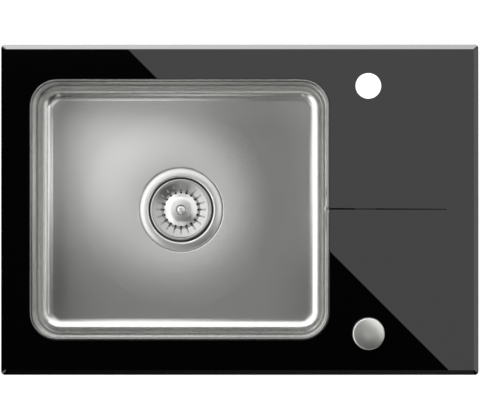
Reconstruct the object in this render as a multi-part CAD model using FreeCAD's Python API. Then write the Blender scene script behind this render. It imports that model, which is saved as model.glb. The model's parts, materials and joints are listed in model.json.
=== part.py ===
import FreeCAD, Part

import math
import os

# Inset kitchen sink: a black glass top with a bonded steel bowl, a basket waste, an overflow and
# a turning knob that raises the basket through a cable. All lengths are in millimetres.
# Origin: centre of the glass outline, on the worktop. +X to the drainer, +Y to the tap side, +Z up.

V = FreeCAD.Vector
ORIGIN = V(0, 0, 0)
ALONG_X = V(1, 0, 0)
ALONG_Y = V(0, 1, 0)
UP = V(0, 0, 1)
TINY = 1e-6
PAST = 1.0  # how far a cutter runs past the faces it opens

# Clearances
THREAD_CLEAR = 0.05  # radial, between fixed pieces that screw or push together
RUN_CLEAR = 0.06  # radial, between a shaft and its bearing
SEAT_GAP = 0.2  # between a moving piece and what carries it

# Glass top and the foam seal under its edge
SIDE_MARGIN = 39.5  # glass to the left of the bowl rim
DRAINER_LENGTH = 203.5  # glass to the right of the bowl rim
FRONT_MARGIN = 48.0  # glass before and behind the bowl rim
GLASS_THICK = 8.0
GLASS_CORNER_R = 5.0
BEVEL_WIDTH = 6.5
BEVEL_DEPTH = 3.0
BEVEL_CORNER_R = 1.0
CUTOUT_GAP = 1.0  # from the bowl bead to the glass
SEAL_THICK = 2.0
SEAL_WIDTH = 10.0
SEAL_INSET = 3.0
SEAL_CORNER_R = 12.0
HOLE_R = 17.5  # tap hole and knob hole
HOLE_FROM_BOWL = 53.5
TAP_FROM_EDGE = 56.5
KNOB_FROM_EDGE = 56.5
GROOVE_LENGTH = 160.0
GROOVE_WIDTH = 4.4
GROOVE_DEPTH = 1.0
GROOVE_END_WIDTH = 2.0
GROOVE_END_DEPTH = 0.45

# Bowl
BOWL_LENGTH = 407.0
BOWL_WIDTH = 354.0
BOWL_CORNER_R = 37.0
BOWL_DEPTH = 190.0
SHEET = 1.0
BEAD_GAP = 1.4  # between the two walls of the folded bead
BEAD_FLAT = 0.8
BEAD_FOLD_R = 0.0  # centre line of the tight fold beside the glass
FLANGE_WIDTH = 12.0
BOND_THICK = 1.5
BOND_RECESS = 1.2  # the silicone joint stays below the glass top
FLOOR_FILLET_R = 22.0
FLOOR_RUNOUT = 0.5
FLOOR_FALL = 2.0  # of the dish round the waste
DISH_MARGIN = 5.0  # flat floor between the dish and the fillet
DISH_RUNOUT = 2.0
NOTCH_R = 9.0
NOTCH_DEPTH = 0.6

# Basket waste: cup, seat and clamp
CUP_FLANGE_R = 57.0
CUP_EDGE_WIDTH = 1.0
CUP_CREST_WIDTH = 5.0
CUP_CREST_RISE = 1.2
CUP_MOUTH_R = 44.5
CUP_BASE_R = 31.5
CUP_DEPTH = 30.0
CUP_SHEET = 1.0
CUP_NECK = 7.0  # upright part below the seat
CUP_BENDS = (2.0, 25.0, 2.5, 6.0, 4.0)  # centre line, from the flange edge to the base
CUP_HOLE_R = 4.5
CUP_HOLE_COUNT = 8
CUP_GASKET_THICK = 1.0
RECESS_GAP = 1.5
RECESS_DEPTH = 3.2
DRAIN_HOLE_GAP = 0.5
BODY_GASKET_THICK = 2.0
BOLT_R = 7.0
BOLT_HEAD_R = 10.0
BOLT_HEAD_THICK = 3.0

# Basket
BASKET_SHEET = 0.8
BASKET_RIM_GAP = 2.0  # inside the mouth of the cup
BASKET_LEVEL = 1.5  # rim height above the seat
BASKET_RIM_WIDTH = 4.2
BASKET_RIM_CURL = 0.6
BASKET_RIM_STEP = 1.2
BASKET_BENDS = (2.0, 1.0, 2.0, 2.0, 20.0, 40.0)  # centre line, from the rim to the dome
BASKET_DROP = 5.2
VALLEY_OUTER_R = 27.0
VALLEY_INNER_R = 23.0
DOME_EDGE_R = 16.0
DOME_RISE = 2.6
DOME_CROWN = 1.0
DOME_FLAT_R = 8.0
SLOT_COUNT = 20
SLOT_WIDTH = 3.0
SLOT_INNER_R = 22.4
SLOT_OUTER_R = 28.6
BASKET_KNOB_R = 7.5
BASKET_KNOB_NECK_R = 5.0
BASKET_KNOB_NECK = 3.1
BASKET_KNOB_FLARE = 1.3
BASKET_KNOB_HEIGHT = 10.0
BASKET_KNOB_EDGE_R = 5.0
STEM_R = 3.0
STEM_SOCKET = 5.0
BASKET_SEAL_R = 25.0
BASKET_SEAL_LIP = 3.0
BASKET_SEAL_HEIGHT = 9.0
BASKET_SEAL_WALL = 2.0

# Lift: the knob winds the cable, the cable pulls the lever, the crank raises the plunger
KNOB_TURN = 90.0
DRUM_R = 8.0
LEVER_LENGTH = 25.0
CRANK_LENGTH = 20.0
PLUNGER_R = 4.0
PLUNGER_FOOT_R = 6.5
PLUNGER_FOOT_THICK = 3.0
PLUNGER_PROUD = 1.5  # above the head of the clamp bolt
LIFT_SPARE = 1.5
CRANK_TIP_R = 3.0
CRANK_OVERHANG = 3.0  # arm past the middle of the plunger
CRANK_HUB_R = 7.0
CRANK_WIDTH = 10.0
SHAFT_R = 4.0
SHAFT_END = 2.0
SHAFT_BOSS_R = 9.0
SHAFT_BOSS_OUT = 14.0  # past the wall of the waste body
RING_SEAL_R = 1.1
RING_SEAL_SEAT = 2.6
LEVER_HUB_R = 8.0
LEVER_TIP_R = 5.0
LEVER_THICK = 6.0
WIRE_R = 0.8
EYE_CLEAR = 0.25
WIRE_HELD = 4.0  # wire inside the ferrule at rest
FERRULE_R = 4.0
FERRULE_FROM_LEVER = 5.0
FERRULE_SOCKET = 6.0
FERRULE_SPARE = 3.0
FERRULE_NUT_R = 7.0
FERRULE_NUT_THICK = 4.0
BRACKET_THICK = 2.0
BRACKET_MARGIN = 5.0
BRACKET_BACK = 6.0  # from the end of the shaft boss
CABLE_R = 2.5
BEND_SHARE = 0.45  # of the shorter run beside a bend, taken up by its arc

# Waste body and outlet
BODY_WALL = 3.0
BODY_FLANGE_WIDTH = 9.0
BODY_FLANGE_THICK = 5.0
CHAMBER_GAP = 2.0  # chamber wider than the drain hole
CHAMBER_SUMP = 6.0  # below the crank
CONE_DEPTH = 20.0
SPIDER_BOSS_R = 12.0
SPIDER_BOSS_HEIGHT = 16.0
SPIDER_RIB = 4.0
SPIDER_RIB_HEIGHT = 12.0
TAIL_R = 20.0
TAIL_WALL = 2.0
TAIL_LENGTH = 50.0
TAIL_NECK_STEP = 0.5  # the tail is slimmer where it passes the nut
TAIL_NECK_SPARE = 2.0
TAIL_COLLAR_THICK = 3.0
SPIGOT_LENGTH = 22.0
OUTLET_WASHER_THICK = 2.0
OUTLET_NUT_RIM = 5.5
NUT_SIDES = 12
NUT_LIP = 3.0
NUT_GRIP = 12.0

# Overflow
OVERFLOW_DROP = 45.0  # below the glass top
OVERFLOW_HOLE_R = 20.0
ROSETTE_R = 30.0
ROSETTE_THICK = 1.2
ROSETTE_HOLES = 12
ROSETTE_HOLE_R = 2.8
OVERFLOW_GASKET_THICK = 2.0
ELBOW_FLANGE_THICK = 3.0
ELBOW_WALL = 3.0
ELBOW_MARGIN = 1.0
ELBOW_SPIGOT_OUT = 26.0
OVERFLOW_SCREW_R = 2.5
OVERFLOW_SCREW_HEAD_R = 5.0
OVERFLOW_SCREW_HEAD = 1.4
OVERFLOW_SCREW_BITE = 12.0
SCREW_BOSS_R = 5.0
PIPE_R = 11.0
PIPE_WALL = 2.0
PIPE_BEND_R = 45.0
PIPE_INSERT = 15.0
SOCKET_SPARE = 1.0
PIPE_WASHER_THICK = 2.0
PIPE_NUT_RIM = 4.5
INLET_OUT = 28.0  # past the wall of the waste body
INLET_DROP = 45.0  # below the drain seat

# Control knob through the glass
KNOB_R = 22.0
KNOB_HEIGHT = 24.0
KNOB_LIFT = 0.6  # above the glass
KNOB_SKIRT = 1.1
KNOB_EDGE_R = 2.5
KNOB_CROWN = 1.5  # rise of the slightly domed top
KNOB_TOP = 5.0  # metal left over the end of the spindle
KNOB_SCREW_R = 2.0
KNOB_SCREW_LENGTH = 14.0
SPINDLE_R = 6.0
BUSH_R = 16.5
BUSH_FLANGE_R = 20.5
BUSH_FLANGE_THICK = 3.0
BUSH_LENGTH = 36.0  # below the glass top
KNOB_SEAL_THICK = 1.2
KNOB_WASHER_R = 24.0
KNOB_WASHER_THICK = 1.5
KNOB_NUT_R = 25.0
KNOB_NUT_THICK = 8.0
CIRCLIP_WIDTH = 3.0
CIRCLIP_THICK = 1.0
DRUM_FLANGE_R = 12.0
DRUM_FLANGE_THICK = 2.0
DRUM_HEIGHT = 10.0
DRUM_DROP = 4.0  # below the circlip
HOUSING_WALL = 3.0
HOUSING_GRIP = 14.0
HOUSING_FLOOR = 3.0
HOUSING_SUMP = 5.0
PORT_R = 4.5
PORT_OUT = 16.0
PORT_HELD = 12.0

# Fixing clips under the glass
STUD_R = 3.0
STUD_DROP = 54.0
STUD_PLATE_LENGTH = 26.0
STUD_PLATE_WIDTH = 15.0
STUD_PLATE_THICK = 2.0
CLIP_DROP = 42.0
CLIP_WIDTH = 12.0
CLIP_LENGTH = 30.0
CLIP_THICK = 2.5
CLIP_CLAW = 10.0
CLIP_NUT_R = 5.8
CLIP_NUT_THICK = 5.0
CLIP_FROM_LEFT = 78.0
CLIP_FROM_DRAIN = 55.0
CLIP_FROM_RIGHT = 95.0

# Places worked out from the sizes
GLASS_LENGTH = SIDE_MARGIN + BOWL_LENGTH + DRAINER_LENGTH
GLASS_WIDTH = BOWL_WIDTH + 2 * FRONT_MARGIN
GLASS_BOTTOM = SEAL_THICK
GLASS_TOP = GLASS_BOTTOM + GLASS_THICK
BOWL_X = -GLASS_LENGTH / 2 + SIDE_MARGIN + BOWL_LENGTH / 2
BOWL_RIGHT = BOWL_X + BOWL_LENGTH / 2
BEAD_WIDTH = 2 * SHEET + BEAD_GAP
WALL_IN = BOWL_RIGHT - BEAD_WIDTH
FLOOR_EDGE_Z = GLASS_TOP - BOWL_DEPTH
FLOOR_LOW_Z = FLOOR_EDGE_Z - FLOOR_FALL
SEAT_Z = FLOOR_LOW_Z - RECESS_DEPTH
DRAIN = V(BOWL_X, 0, SEAT_Z)
HOLE_X = BOWL_RIGHT + HOLE_FROM_BOWL
TAP_Y = GLASS_WIDTH / 2 - TAP_FROM_EDGE
KNOB_AT = V(HOLE_X, KNOB_FROM_EDGE - GLASS_WIDTH / 2, GLASS_TOP)

# Heights below are measured from the drain seat
RECESS_R = CUP_FLANGE_R + RECESS_GAP
DRAIN_HOLE_R = CUP_MOUTH_R + CUP_SHEET + DRAIN_HOLE_GAP
CUP_FLOOR = -CUP_DEPTH + CUP_SHEET / 2
CUP_UNDER = -CUP_DEPTH - CUP_SHEET / 2
BOLT_TOP = CUP_FLOOR + BOLT_HEAD_THICK
PLUNGER_TOP = BOLT_TOP + PLUNGER_PROUD
STEM_BOTTOM = PLUNGER_TOP + SEAT_GAP
BASKET_R = CUP_MOUTH_R - BASKET_RIM_GAP
DOME_Z = BASKET_LEVEL - BASKET_DROP + DOME_RISE + DOME_CROWN
BASKET_KNOB_BASE = DOME_Z + BASKET_SHEET / 2
SPIDER_BOTTOM = CUP_UNDER - SPIDER_BOSS_HEIGHT
CRANK_SWING = KNOB_TURN * DRUM_R / LEVER_LENGTH
HALF_SWING = math.radians(CRANK_SWING / 2)
LIFT = 2 * CRANK_LENGTH * math.sin(HALF_SWING)
WIRE_TRAVEL = 2 * LEVER_LENGTH * math.sin(HALF_SWING)
FOOT_TOP = SPIDER_BOTTOM - LIFT - LIFT_SPARE
PLUNGER_BALL_Z = FOOT_TOP - PLUNGER_FOOT_THICK
CRANK_TIP_Z = PLUNGER_BALL_Z - (PLUNGER_R + SEAT_GAP + CRANK_TIP_R) / math.cos(HALF_SWING)
SHAFT_Z = CRANK_TIP_Z + CRANK_LENGTH * math.sin(HALF_SWING)
SHAFT_X = CRANK_LENGTH * math.cos(HALF_SWING)
CHAMBER_R = DRAIN_HOLE_R + CHAMBER_GAP
BODY_R = CHAMBER_R + BODY_WALL
BODY_TOP = -SHEET - BODY_GASKET_THICK
CHAMBER_FLOOR = CRANK_TIP_Z - CRANK_TIP_R - CHAMBER_SUMP
TAIL_NECK_R = TAIL_R - TAIL_NECK_STEP
TAIL_FREE = TAIL_LENGTH - NUT_LIP - TAIL_NECK_SPARE
SPIGOT_R = TAIL_R + TAIL_WALL
SPIGOT_TOP = CHAMBER_FLOOR - CONE_DEPTH
SPIGOT_END = SPIGOT_TOP - SPIGOT_LENGTH
COLLAR_TOP = SPIGOT_END - OUTLET_WASHER_THICK
BOSS_END = -(BODY_R + SHAFT_BOSS_OUT)
LEVER_BACK = BOSS_END - SEAT_GAP
LEVER_FRONT = LEVER_BACK - LEVER_THICK
WIRE_Y = LEVER_FRONT - WIRE_R - EYE_CLEAR
WIRE_Z = SHAFT_Z + LEVER_LENGTH * (1 + math.cos(HALF_SWING)) / 2
EYE_X = SHAFT_X - LEVER_LENGTH * math.sin(HALF_SWING)
FERRULE_X = EYE_X + WIRE_TRAVEL + LEVER_TIP_R + FERRULE_FROM_LEVER
FERRULE_BORE = WIRE_HELD + WIRE_TRAVEL + FERRULE_SPARE
FERRULE_END = FERRULE_X + FERRULE_BORE + FERRULE_SOCKET
TAB_X = FERRULE_X + FERRULE_BORE / 2
SPIGOT_BORE = PIPE_R - PIPE_WALL
PIPE_SPIGOT_R = PIPE_R + THREAD_CLEAR + ELBOW_WALL
INLET_END = BODY_R + INLET_OUT
OVERFLOW_Z = GLASS_TOP - OVERFLOW_DROP
ELBOW_FACE = SHEET + OVERFLOW_GASKET_THICK
ELBOW_SPIGOT_AT = ELBOW_FACE + ELBOW_FLANGE_THICK + ELBOW_MARGIN + PIPE_SPIGOT_R
ELBOW_BACK = ELBOW_SPIGOT_AT + PIPE_SPIGOT_R - ELBOW_MARGIN
ELBOW_R = OVERFLOW_HOLE_R + ELBOW_WALL
ELBOW_END = ELBOW_R + ELBOW_SPIGOT_OUT

# Heights below are measured from the glass top at the knob
BUSH_TOP = KNOB_SEAL_THICK + BUSH_FLANGE_THICK
SPINDLE_TOP = KNOB_LIFT + KNOB_HEIGHT - KNOB_TOP
CIRCLIP_TOP = -BUSH_LENGTH - SEAT_GAP
DRUM_TOP = CIRCLIP_TOP - CIRCLIP_THICK - DRUM_DROP
DRUM_BOTTOM = DRUM_TOP - DRUM_HEIGHT
DRUM_MIDDLE = DRUM_TOP - DRUM_HEIGHT / 2
HOUSING_R = BUSH_R + HOUSING_WALL
HOUSING_BOTTOM = DRUM_BOTTOM - HOUSING_SUMP - HOUSING_FLOOR
PORT_END = HOUSING_R + PORT_OUT


def join(*shapes):
    """One solid from touching or overlapping ones."""
    return shapes[0].multiFuse(list(shapes[1:])).removeSplitter()


def group(shapes):
    """Separate solids kept together as one node."""
    return Part.makeCompound(shapes)


def moved(shape, offset):
    copy = shape.copy()
    copy.translate(offset)
    return copy


def turned_about(shape, axis, angle, centre=ORIGIN):
    copy = shape.copy()
    copy.rotate(centre, axis, angle)
    return copy


def rod(radius, start, end):
    """Solid cylinder between two points."""
    return Part.makeCylinder(radius, (end - start).Length, start, end - start)


def tube(outer, inner, low, high):
    """Upright ring on the Z axis."""
    ring = rod(outer, V(0, 0, low), V(0, 0, high))
    return ring.cut(rod(inner, V(0, 0, low - PAST), V(0, 0, high + PAST)))


def block(low, high):
    """Box between two corners."""
    size = high - low
    return Part.makeBox(size.x, size.y, size.z, low)


def rounded_path(points, radii):
    """Straight runs through points, with a tangent arc of the given radius at each inner point."""
    edges = []
    start = points[0]
    for before, corner, after, radius in zip(points, points[1:], points[2:], radii):
        incoming = (corner - before).normalize()
        outgoing = (after - corner).normalize()
        half_turn = incoming.getAngle(outgoing) / 2
        setback = radius * math.tan(half_turn)
        arc_start = corner - incoming * setback
        arc_end = corner + outgoing * setback
        if (arc_start - start).Length > TINY:
            edges.append(Part.LineSegment(start, arc_start).toShape())
        if radius > TINY:
            inward = (outgoing - incoming).normalize()
            centre = corner + inward * (radius / math.cos(half_turn))
            edges.append(Part.Arc(arc_start, centre - inward * radius, arc_end).toShape())
        start = arc_end
    edges.append(Part.LineSegment(start, points[-1]).toShape())
    return edges


def section(points, radii=None):
    """Face in the XZ plane from (x, z) corners. Corners after the first take the radii."""
    corners = [V(x, 0, z) for x, z in points]
    corners.append(corners[0])
    radii = radii or [0.0] * (len(points) - 1)
    return Part.Face(Part.Wire(rounded_path(corners, radii)))


def sheet_section(points, radii, thick):
    """Section of a bent sheet, from its centre line and the bend radius at each inner point."""
    line = [V(x, 0, z) for x, z in points]
    steps = [(after - before).normalize() for before, after in zip(line, line[1:])]
    lefts = [V(-step.z, 0, step.x) for step in steps]
    mitres = [lefts[0]]
    for first, second in zip(lefts, lefts[1:]):
        mitres.append((first + second) * (1 / (1 + first.dot(second))))
    mitres.append(lefts[-1])
    turns = [1 if a.dot(second) > 0 else -1 for a, second in zip(lefts, steps[1:])]
    sides = []
    for side in (1, -1):
        shifted = [point + mitre * (side * thick / 2) for point, mitre in zip(line, mitres)]
        bends = [max(r - side * turn * thick / 2, 0.0) for r, turn in zip(radii, turns)]
        sides.append((shifted, rounded_path(shifted, bends)))
    (left, left_edges), (right, right_edges) = sides
    ends = [Part.LineSegment(left[i], right[i]).toShape() for i in (0, -1)]
    return Part.Face(Part.Wire(Part.__sortEdges__(left_edges + right_edges + ends)))


def turned(face):
    """Full turn of a section about the Z axis."""
    return face.revolve(ORIGIN, UP, 360)


def outline(length, width, corner_r, z, centre_x=0.0):
    """Rounded rectangle as four corner arcs, each followed by the straight side after it."""
    edges = []
    signs = ((1, 1), (-1, 1), (-1, -1), (1, -1))
    spots = [V(centre_x + sx * (length / 2 - corner_r), sy * (width / 2 - corner_r), z) for sx, sy in signs]
    for quarter, spot in enumerate(spots):
        arc_at = [math.radians(90 * quarter + turn) for turn in (0, 45, 90)]
        on_arc = [spot + V(math.cos(a), math.sin(a), 0) * corner_r for a in arc_at]
        edges.append(Part.Arc(*on_arc).toShape())
        after = spots[(quarter + 1) % 4]
        side_end = after + V(math.cos(arc_at[2]), math.sin(arc_at[2]), 0) * corner_r
        edges.append(Part.LineSegment(on_arc[2], side_end).toShape())
    return Part.Wire(edges)


def prism(length, width, corner_r, low, high, centre_x=0.0):
    """Upright block with a rounded rectangular outline."""
    return Part.Face(outline(length, width, corner_r, low, centre_x)).extrude(V(0, 0, high - low))


def around_bowl(face):
    """Sweep a section right round the bowl outline. Its X is measured outwards from the outline."""
    at_corner = moved(face, V(BOWL_CORNER_R, 0, 0))
    pieces = []
    sides = ((1, 1, BOWL_WIDTH), (-1, 1, BOWL_LENGTH), (-1, -1, BOWL_WIDTH), (1, -1, BOWL_LENGTH))
    for quarter, (sx, sy, run) in enumerate(sides):
        corner_x = BOWL_X + sx * (BOWL_LENGTH / 2 - BOWL_CORNER_R)
        corner_y = sy * (BOWL_WIDTH / 2 - BOWL_CORNER_R)
        bend = at_corner.revolve(ORIGIN, UP, 90)
        side = at_corner.extrude(V(0, 2 * BOWL_CORNER_R - run, 0))
        for piece in (bend, side):
            pieces.append(moved(turned_about(piece, UP, 90 * quarter), V(corner_x, corner_y, 0)))
    return join(*pieces)


def ring_of(shape, count):
    """Copies of a shape spaced evenly round the Z axis."""
    return [turned_about(shape, UP, 360 * i / count) for i in range(count)]


def polygon_prism(sides, inner_r, low, high):
    """Upright prism with flat sides that touch a circle of the given radius."""
    corner_r = inner_r / math.cos(math.pi / sides)
    angles = [2 * math.pi * i / sides for i in range(sides + 1)]
    corners = [V(corner_r * math.cos(a), corner_r * math.sin(a), low) for a in angles]
    return Part.Face(Part.makePolygon(corners)).extrude(V(0, 0, high - low))


def nut(sides, flat_r, bore_r, low, high):
    blank = polygon_prism(sides, flat_r, low, high)
    return blank.cut(rod(bore_r, V(0, 0, low - PAST), V(0, 0, high + PAST)))


def union_nut(spigot_r, rim, through_r, stack):
    """Plastic nut on a spigot that ends at z = 0. It clamps a stack below the end with its lip."""
    low = -stack - NUT_LIP
    blank = polygon_prism(NUT_SIDES, spigot_r + rim, low, NUT_GRIP)
    blank = blank.cut(rod(spigot_r + THREAD_CLEAR, V(0, 0, -stack), V(0, 0, NUT_GRIP + PAST)))
    return blank.cut(rod(through_r, V(0, 0, low - PAST), V(0, 0, 0)))


def link(first, first_r, second, second_r, back, front):
    """Flat lever in the XZ plane between two round ends, from y = back to y = front."""
    depth = V(0, front - back, 0)
    first = V(first.x, back, first.z)
    second = V(second.x, back, second.z)
    across = (second - first).cross(ALONG_Y).normalize()
    corners = [
        first + across * second_r,
        second + across * second_r,
        second - across * second_r,
        first - across * second_r,
    ]
    bar = Part.Face(Part.makePolygon(corners + corners[:1])).extrude(depth)
    return join(bar, rod(first_r, first, first + depth), rod(second_r, second, second + depth))


def on_overflow(shape):
    """From a Z axis through the wall of the bowl, with X downwards, to its place on the right wall."""
    return moved(turned_about(shape, ALONG_Y, 90), V(WALL_IN, 0, OVERFLOW_Z))


def glass_top():
    inset = 2 * BEVEL_WIDTH
    levels = [
        outline(GLASS_LENGTH, GLASS_WIDTH, GLASS_CORNER_R, GLASS_BOTTOM),
        outline(GLASS_LENGTH, GLASS_WIDTH, GLASS_CORNER_R, GLASS_TOP - BEVEL_DEPTH),
        outline(GLASS_LENGTH - inset, GLASS_WIDTH - inset, BEVEL_CORNER_R, GLASS_TOP),
    ]
    plate = Part.makeLoft(levels, True, True)
    low, high = GLASS_BOTTOM - PAST, GLASS_TOP + PAST
    gap = 2 * CUTOUT_GAP
    cutout = prism(BOWL_LENGTH + gap, BOWL_WIDTH + gap, BOWL_CORNER_R + CUTOUT_GAP, low, high, BOWL_X)
    holes = [rod(HOLE_R, V(HOLE_X, y, low), V(HOLE_X, y, high)) for y in (TAP_Y, KNOB_AT.y)]
    return plate.cut([cutout, *holes, drain_groove()])


def drain_groove():
    """Tapering V that leads water from the drainer to the bowl."""
    ends = (
        (BOWL_RIGHT, GROOVE_WIDTH, GROOVE_DEPTH),
        (BOWL_RIGHT + GROOVE_LENGTH, GROOVE_END_WIDTH, GROOVE_END_DEPTH),
    )
    wires = []
    for x, width, depth in ends:
        half = width / 2 * (depth + PAST) / depth
        top = GLASS_TOP + PAST
        corners = [V(x, -half, top), V(x, half, top), V(x, 0, GLASS_TOP - depth)]
        wires.append(Part.makePolygon(corners + corners[:1]))
    return Part.makeLoft(wires, True, True)


def worktop_seal():
    length = GLASS_LENGTH - 2 * SEAL_INSET
    width = GLASS_WIDTH - 2 * SEAL_INSET
    tape = prism(length, width, SEAL_CORNER_R, 0, SEAL_THICK)
    inside = 2 * SEAL_WIDTH
    inner_r = SEAL_CORNER_R - SEAL_WIDTH
    return tape.cut(prism(length - inside, width - inside, inner_r, -PAST, SEAL_THICK + PAST))


def bowl():
    """Folded bead, walls and floor fillet swept round the outline, then the floor, its dish and the seat."""
    flange_z = GLASS_BOTTOM - BOND_THICK - SHEET / 2
    crest_z = GLASS_TOP - SHEET / 2
    outer = -SHEET / 2
    wall = SHEET / 2 - BEAD_WIDTH
    bead_bend = SHEET + BEAD_GAP - BEAD_FLAT - BEAD_FOLD_R
    fillet = FLOOR_FILLET_R + SHEET / 2
    floor_start = wall - fillet - FLOOR_RUNOUT
    line = [
        (FLANGE_WIDTH, flange_z),
        (outer, flange_z),
        (outer, crest_z),
        (wall, crest_z),
        (wall, FLOOR_EDGE_Z - SHEET / 2),
        (floor_start, FLOOR_EDGE_Z - SHEET / 2),
    ]
    walls = around_bowl(sheet_section(line, [SHEET / 2, BEAD_FOLD_R, bead_bend, fillet], SHEET))
    plate_length = BOWL_LENGTH + 2 * floor_start
    plate_width = BOWL_WIDTH + 2 * floor_start
    plate_low = FLOOR_EDGE_Z - SHEET
    plate = prism(plate_length, plate_width, BOWL_CORNER_R + floor_start, plate_low, FLOOR_EDGE_Z, BOWL_X)
    dish_r = plate_width / 2 - DISH_MARGIN
    plate = plate.cut(rod(dish_r, V(BOWL_X, 0, plate_low - PAST), V(BOWL_X, 0, FLOOR_EDGE_Z + PAST)))
    step = RECESS_R + SHEET / 2
    middle = (dish_r + step) / 2
    dish_slope = math.atan2(FLOOR_FALL, middle - step)
    dish_bend = (dish_r - middle - DISH_RUNOUT) / math.tan(dish_slope / 2)
    dish_line = [
        (dish_r, RECESS_DEPTH + FLOOR_FALL - SHEET / 2),
        (middle, RECESS_DEPTH + FLOOR_FALL - SHEET / 2),
        (step, RECESS_DEPTH - SHEET / 2),
        (step, -SHEET / 2),
        (DRAIN_HOLE_R, -SHEET / 2),
    ]
    dish = moved(turned(sheet_section(dish_line, [dish_bend, SHEET, SHEET], SHEET)), DRAIN)
    notch_z = GLASS_TOP + NOTCH_R - NOTCH_DEPTH
    notch = rod(NOTCH_R, V(WALL_IN - PAST, 0, notch_z), V(BOWL_RIGHT + PAST, 0, notch_z))
    overflow = on_overflow(rod(OVERFLOW_HOLE_R, V(0, 0, -PAST), V(0, 0, SHEET + PAST)))
    return join(walls, plate, dish).cut([notch, overflow])


def bowl_bond():
    """Silicone between the bowl flange and the glass, and up the joint round the bead."""
    low = GLASS_BOTTOM - BOND_THICK
    top = GLASS_TOP - BOND_RECESS
    corners = [
        (0, low),
        (FLANGE_WIDTH, low),
        (FLANGE_WIDTH, GLASS_BOTTOM),
        (CUTOUT_GAP, GLASS_BOTTOM),
        (CUTOUT_GAP, top),
        (0, top),
    ]
    return around_bowl(section(corners))


def waste_cup():
    edge_z = CUP_GASKET_THICK + CUP_SHEET / 2
    crest_z = edge_z + CUP_CREST_RISE
    mouth = CUP_MOUTH_R + CUP_SHEET / 2
    line = [
        (CUP_FLANGE_R, edge_z),
        (CUP_FLANGE_R - CUP_EDGE_WIDTH, edge_z),
        (mouth + CUP_CREST_WIDTH, crest_z),
        (mouth, crest_z),
        (mouth, -CUP_NECK),
        (CUP_BASE_R, -CUP_DEPTH),
        (BOLT_R + THREAD_CLEAR, -CUP_DEPTH),
    ]
    cup = turned(sheet_section(line, CUP_BENDS, CUP_SHEET))
    hole_ring = (BOLT_HEAD_R + BASKET_SEAL_R - BASKET_SEAL_LIP) / 2
    hole = rod(CUP_HOLE_R, V(hole_ring, 0, CUP_UNDER - PAST), V(hole_ring, 0, CUP_FLOOR + PAST))
    return cup.cut(ring_of(hole, CUP_HOLE_COUNT))


def cup_gasket():
    return tube(CUP_FLANGE_R, DRAIN_HOLE_R, 0, CUP_GASKET_THICK)


def body_gasket():
    return tube(CHAMBER_R + BODY_FLANGE_WIDTH, CHAMBER_R, BODY_TOP, -SHEET)


def clamp_bolt():
    """Hollow bolt that draws the body up to the cup and guides the plunger."""
    head = polygon_prism(6, BOLT_HEAD_R * math.cos(math.pi / 6), CUP_FLOOR, BOLT_TOP)
    shank = rod(BOLT_R, V(0, 0, SPIDER_BOTTOM), V(0, 0, CUP_FLOOR))
    bore = rod(PLUNGER_R + RUN_CLEAR, V(0, 0, SPIDER_BOTTOM - PAST), V(0, 0, BOLT_TOP + PAST))
    return join(head, shank).cut(bore)


def waste_body():
    flange_r = CHAMBER_R + BODY_FLANGE_WIDTH
    flange_low = BODY_TOP - BODY_FLANGE_THICK
    bore = TAIL_R - TAIL_WALL
    shell = turned(
        section(
            [
                (CHAMBER_R, BODY_TOP),
                (flange_r, BODY_TOP),
                (flange_r, flange_low),
                (BODY_R, flange_low),
                (BODY_R, CHAMBER_FLOOR - BODY_WALL),
                (SPIGOT_R, SPIGOT_TOP),
                (bore, SPIGOT_TOP),
                (CHAMBER_R, CHAMBER_FLOOR),
            ]
        )
    )
    boss = rod(SPIDER_BOSS_R, V(0, 0, SPIDER_BOTTOM), V(0, 0, CUP_UNDER))
    rib_low = V(0, -SPIDER_RIB / 2, SPIDER_BOTTOM)
    rib_high = V(CHAMBER_R + BODY_WALL / 2, SPIDER_RIB / 2, SPIDER_BOTTOM + SPIDER_RIB_HEIGHT)
    ribs = [turned_about(block(rib_low, rib_high), UP, angle) for angle in (60, 180, 300)]
    inlet_at = V(0, 0, -INLET_DROP)
    shaft_at = V(SHAFT_X, 0, SHAFT_Z)
    inlet = rod(PIPE_SPIGOT_R, inlet_at, V(INLET_END, 0, -INLET_DROP))
    shaft_boss = rod(SHAFT_BOSS_R, shaft_at, V(SHAFT_X, BOSS_END, SHAFT_Z))
    chamber = rod(CHAMBER_R, V(0, 0, CHAMBER_FLOOR), V(0, 0, BODY_TOP))
    body = join(shell, boss, *ribs, *[branch.cut(chamber) for branch in (inlet, shaft_boss)])
    socket_start = V(INLET_END - PIPE_INSERT - SOCKET_SPARE, 0, -INLET_DROP)
    boss_past = V(SHAFT_X, BOSS_END - PAST, SHAFT_Z)
    ring_seat_r = SHAFT_R + 2 * RING_SEAL_R + 2 * SEAT_GAP
    cutters = [
        rod(BOLT_R + THREAD_CLEAR, V(0, 0, SPIDER_BOTTOM - PAST), V(0, 0, CUP_UNDER + PAST)),
        rod(SPIGOT_BORE, V(SPIDER_BOSS_R + PAST, 0, -INLET_DROP), socket_start),
        rod(PIPE_R + THREAD_CLEAR, socket_start, V(INLET_END + PAST, 0, -INLET_DROP)),
        rod(SHAFT_R + RUN_CLEAR, shaft_at, boss_past),
        rod(ring_seat_r, V(SHAFT_X, BOSS_END + RING_SEAL_SEAT, SHAFT_Z), boss_past),
    ]
    return body.cut(cutters)


def shaft_seal():
    centre = V(SHAFT_X, BOSS_END + RING_SEAL_SEAT / 2, SHAFT_Z)
    return Part.makeTorus(SHAFT_R + SEAT_GAP + RING_SEAL_R, RING_SEAL_R, centre, ALONG_Y)


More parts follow.
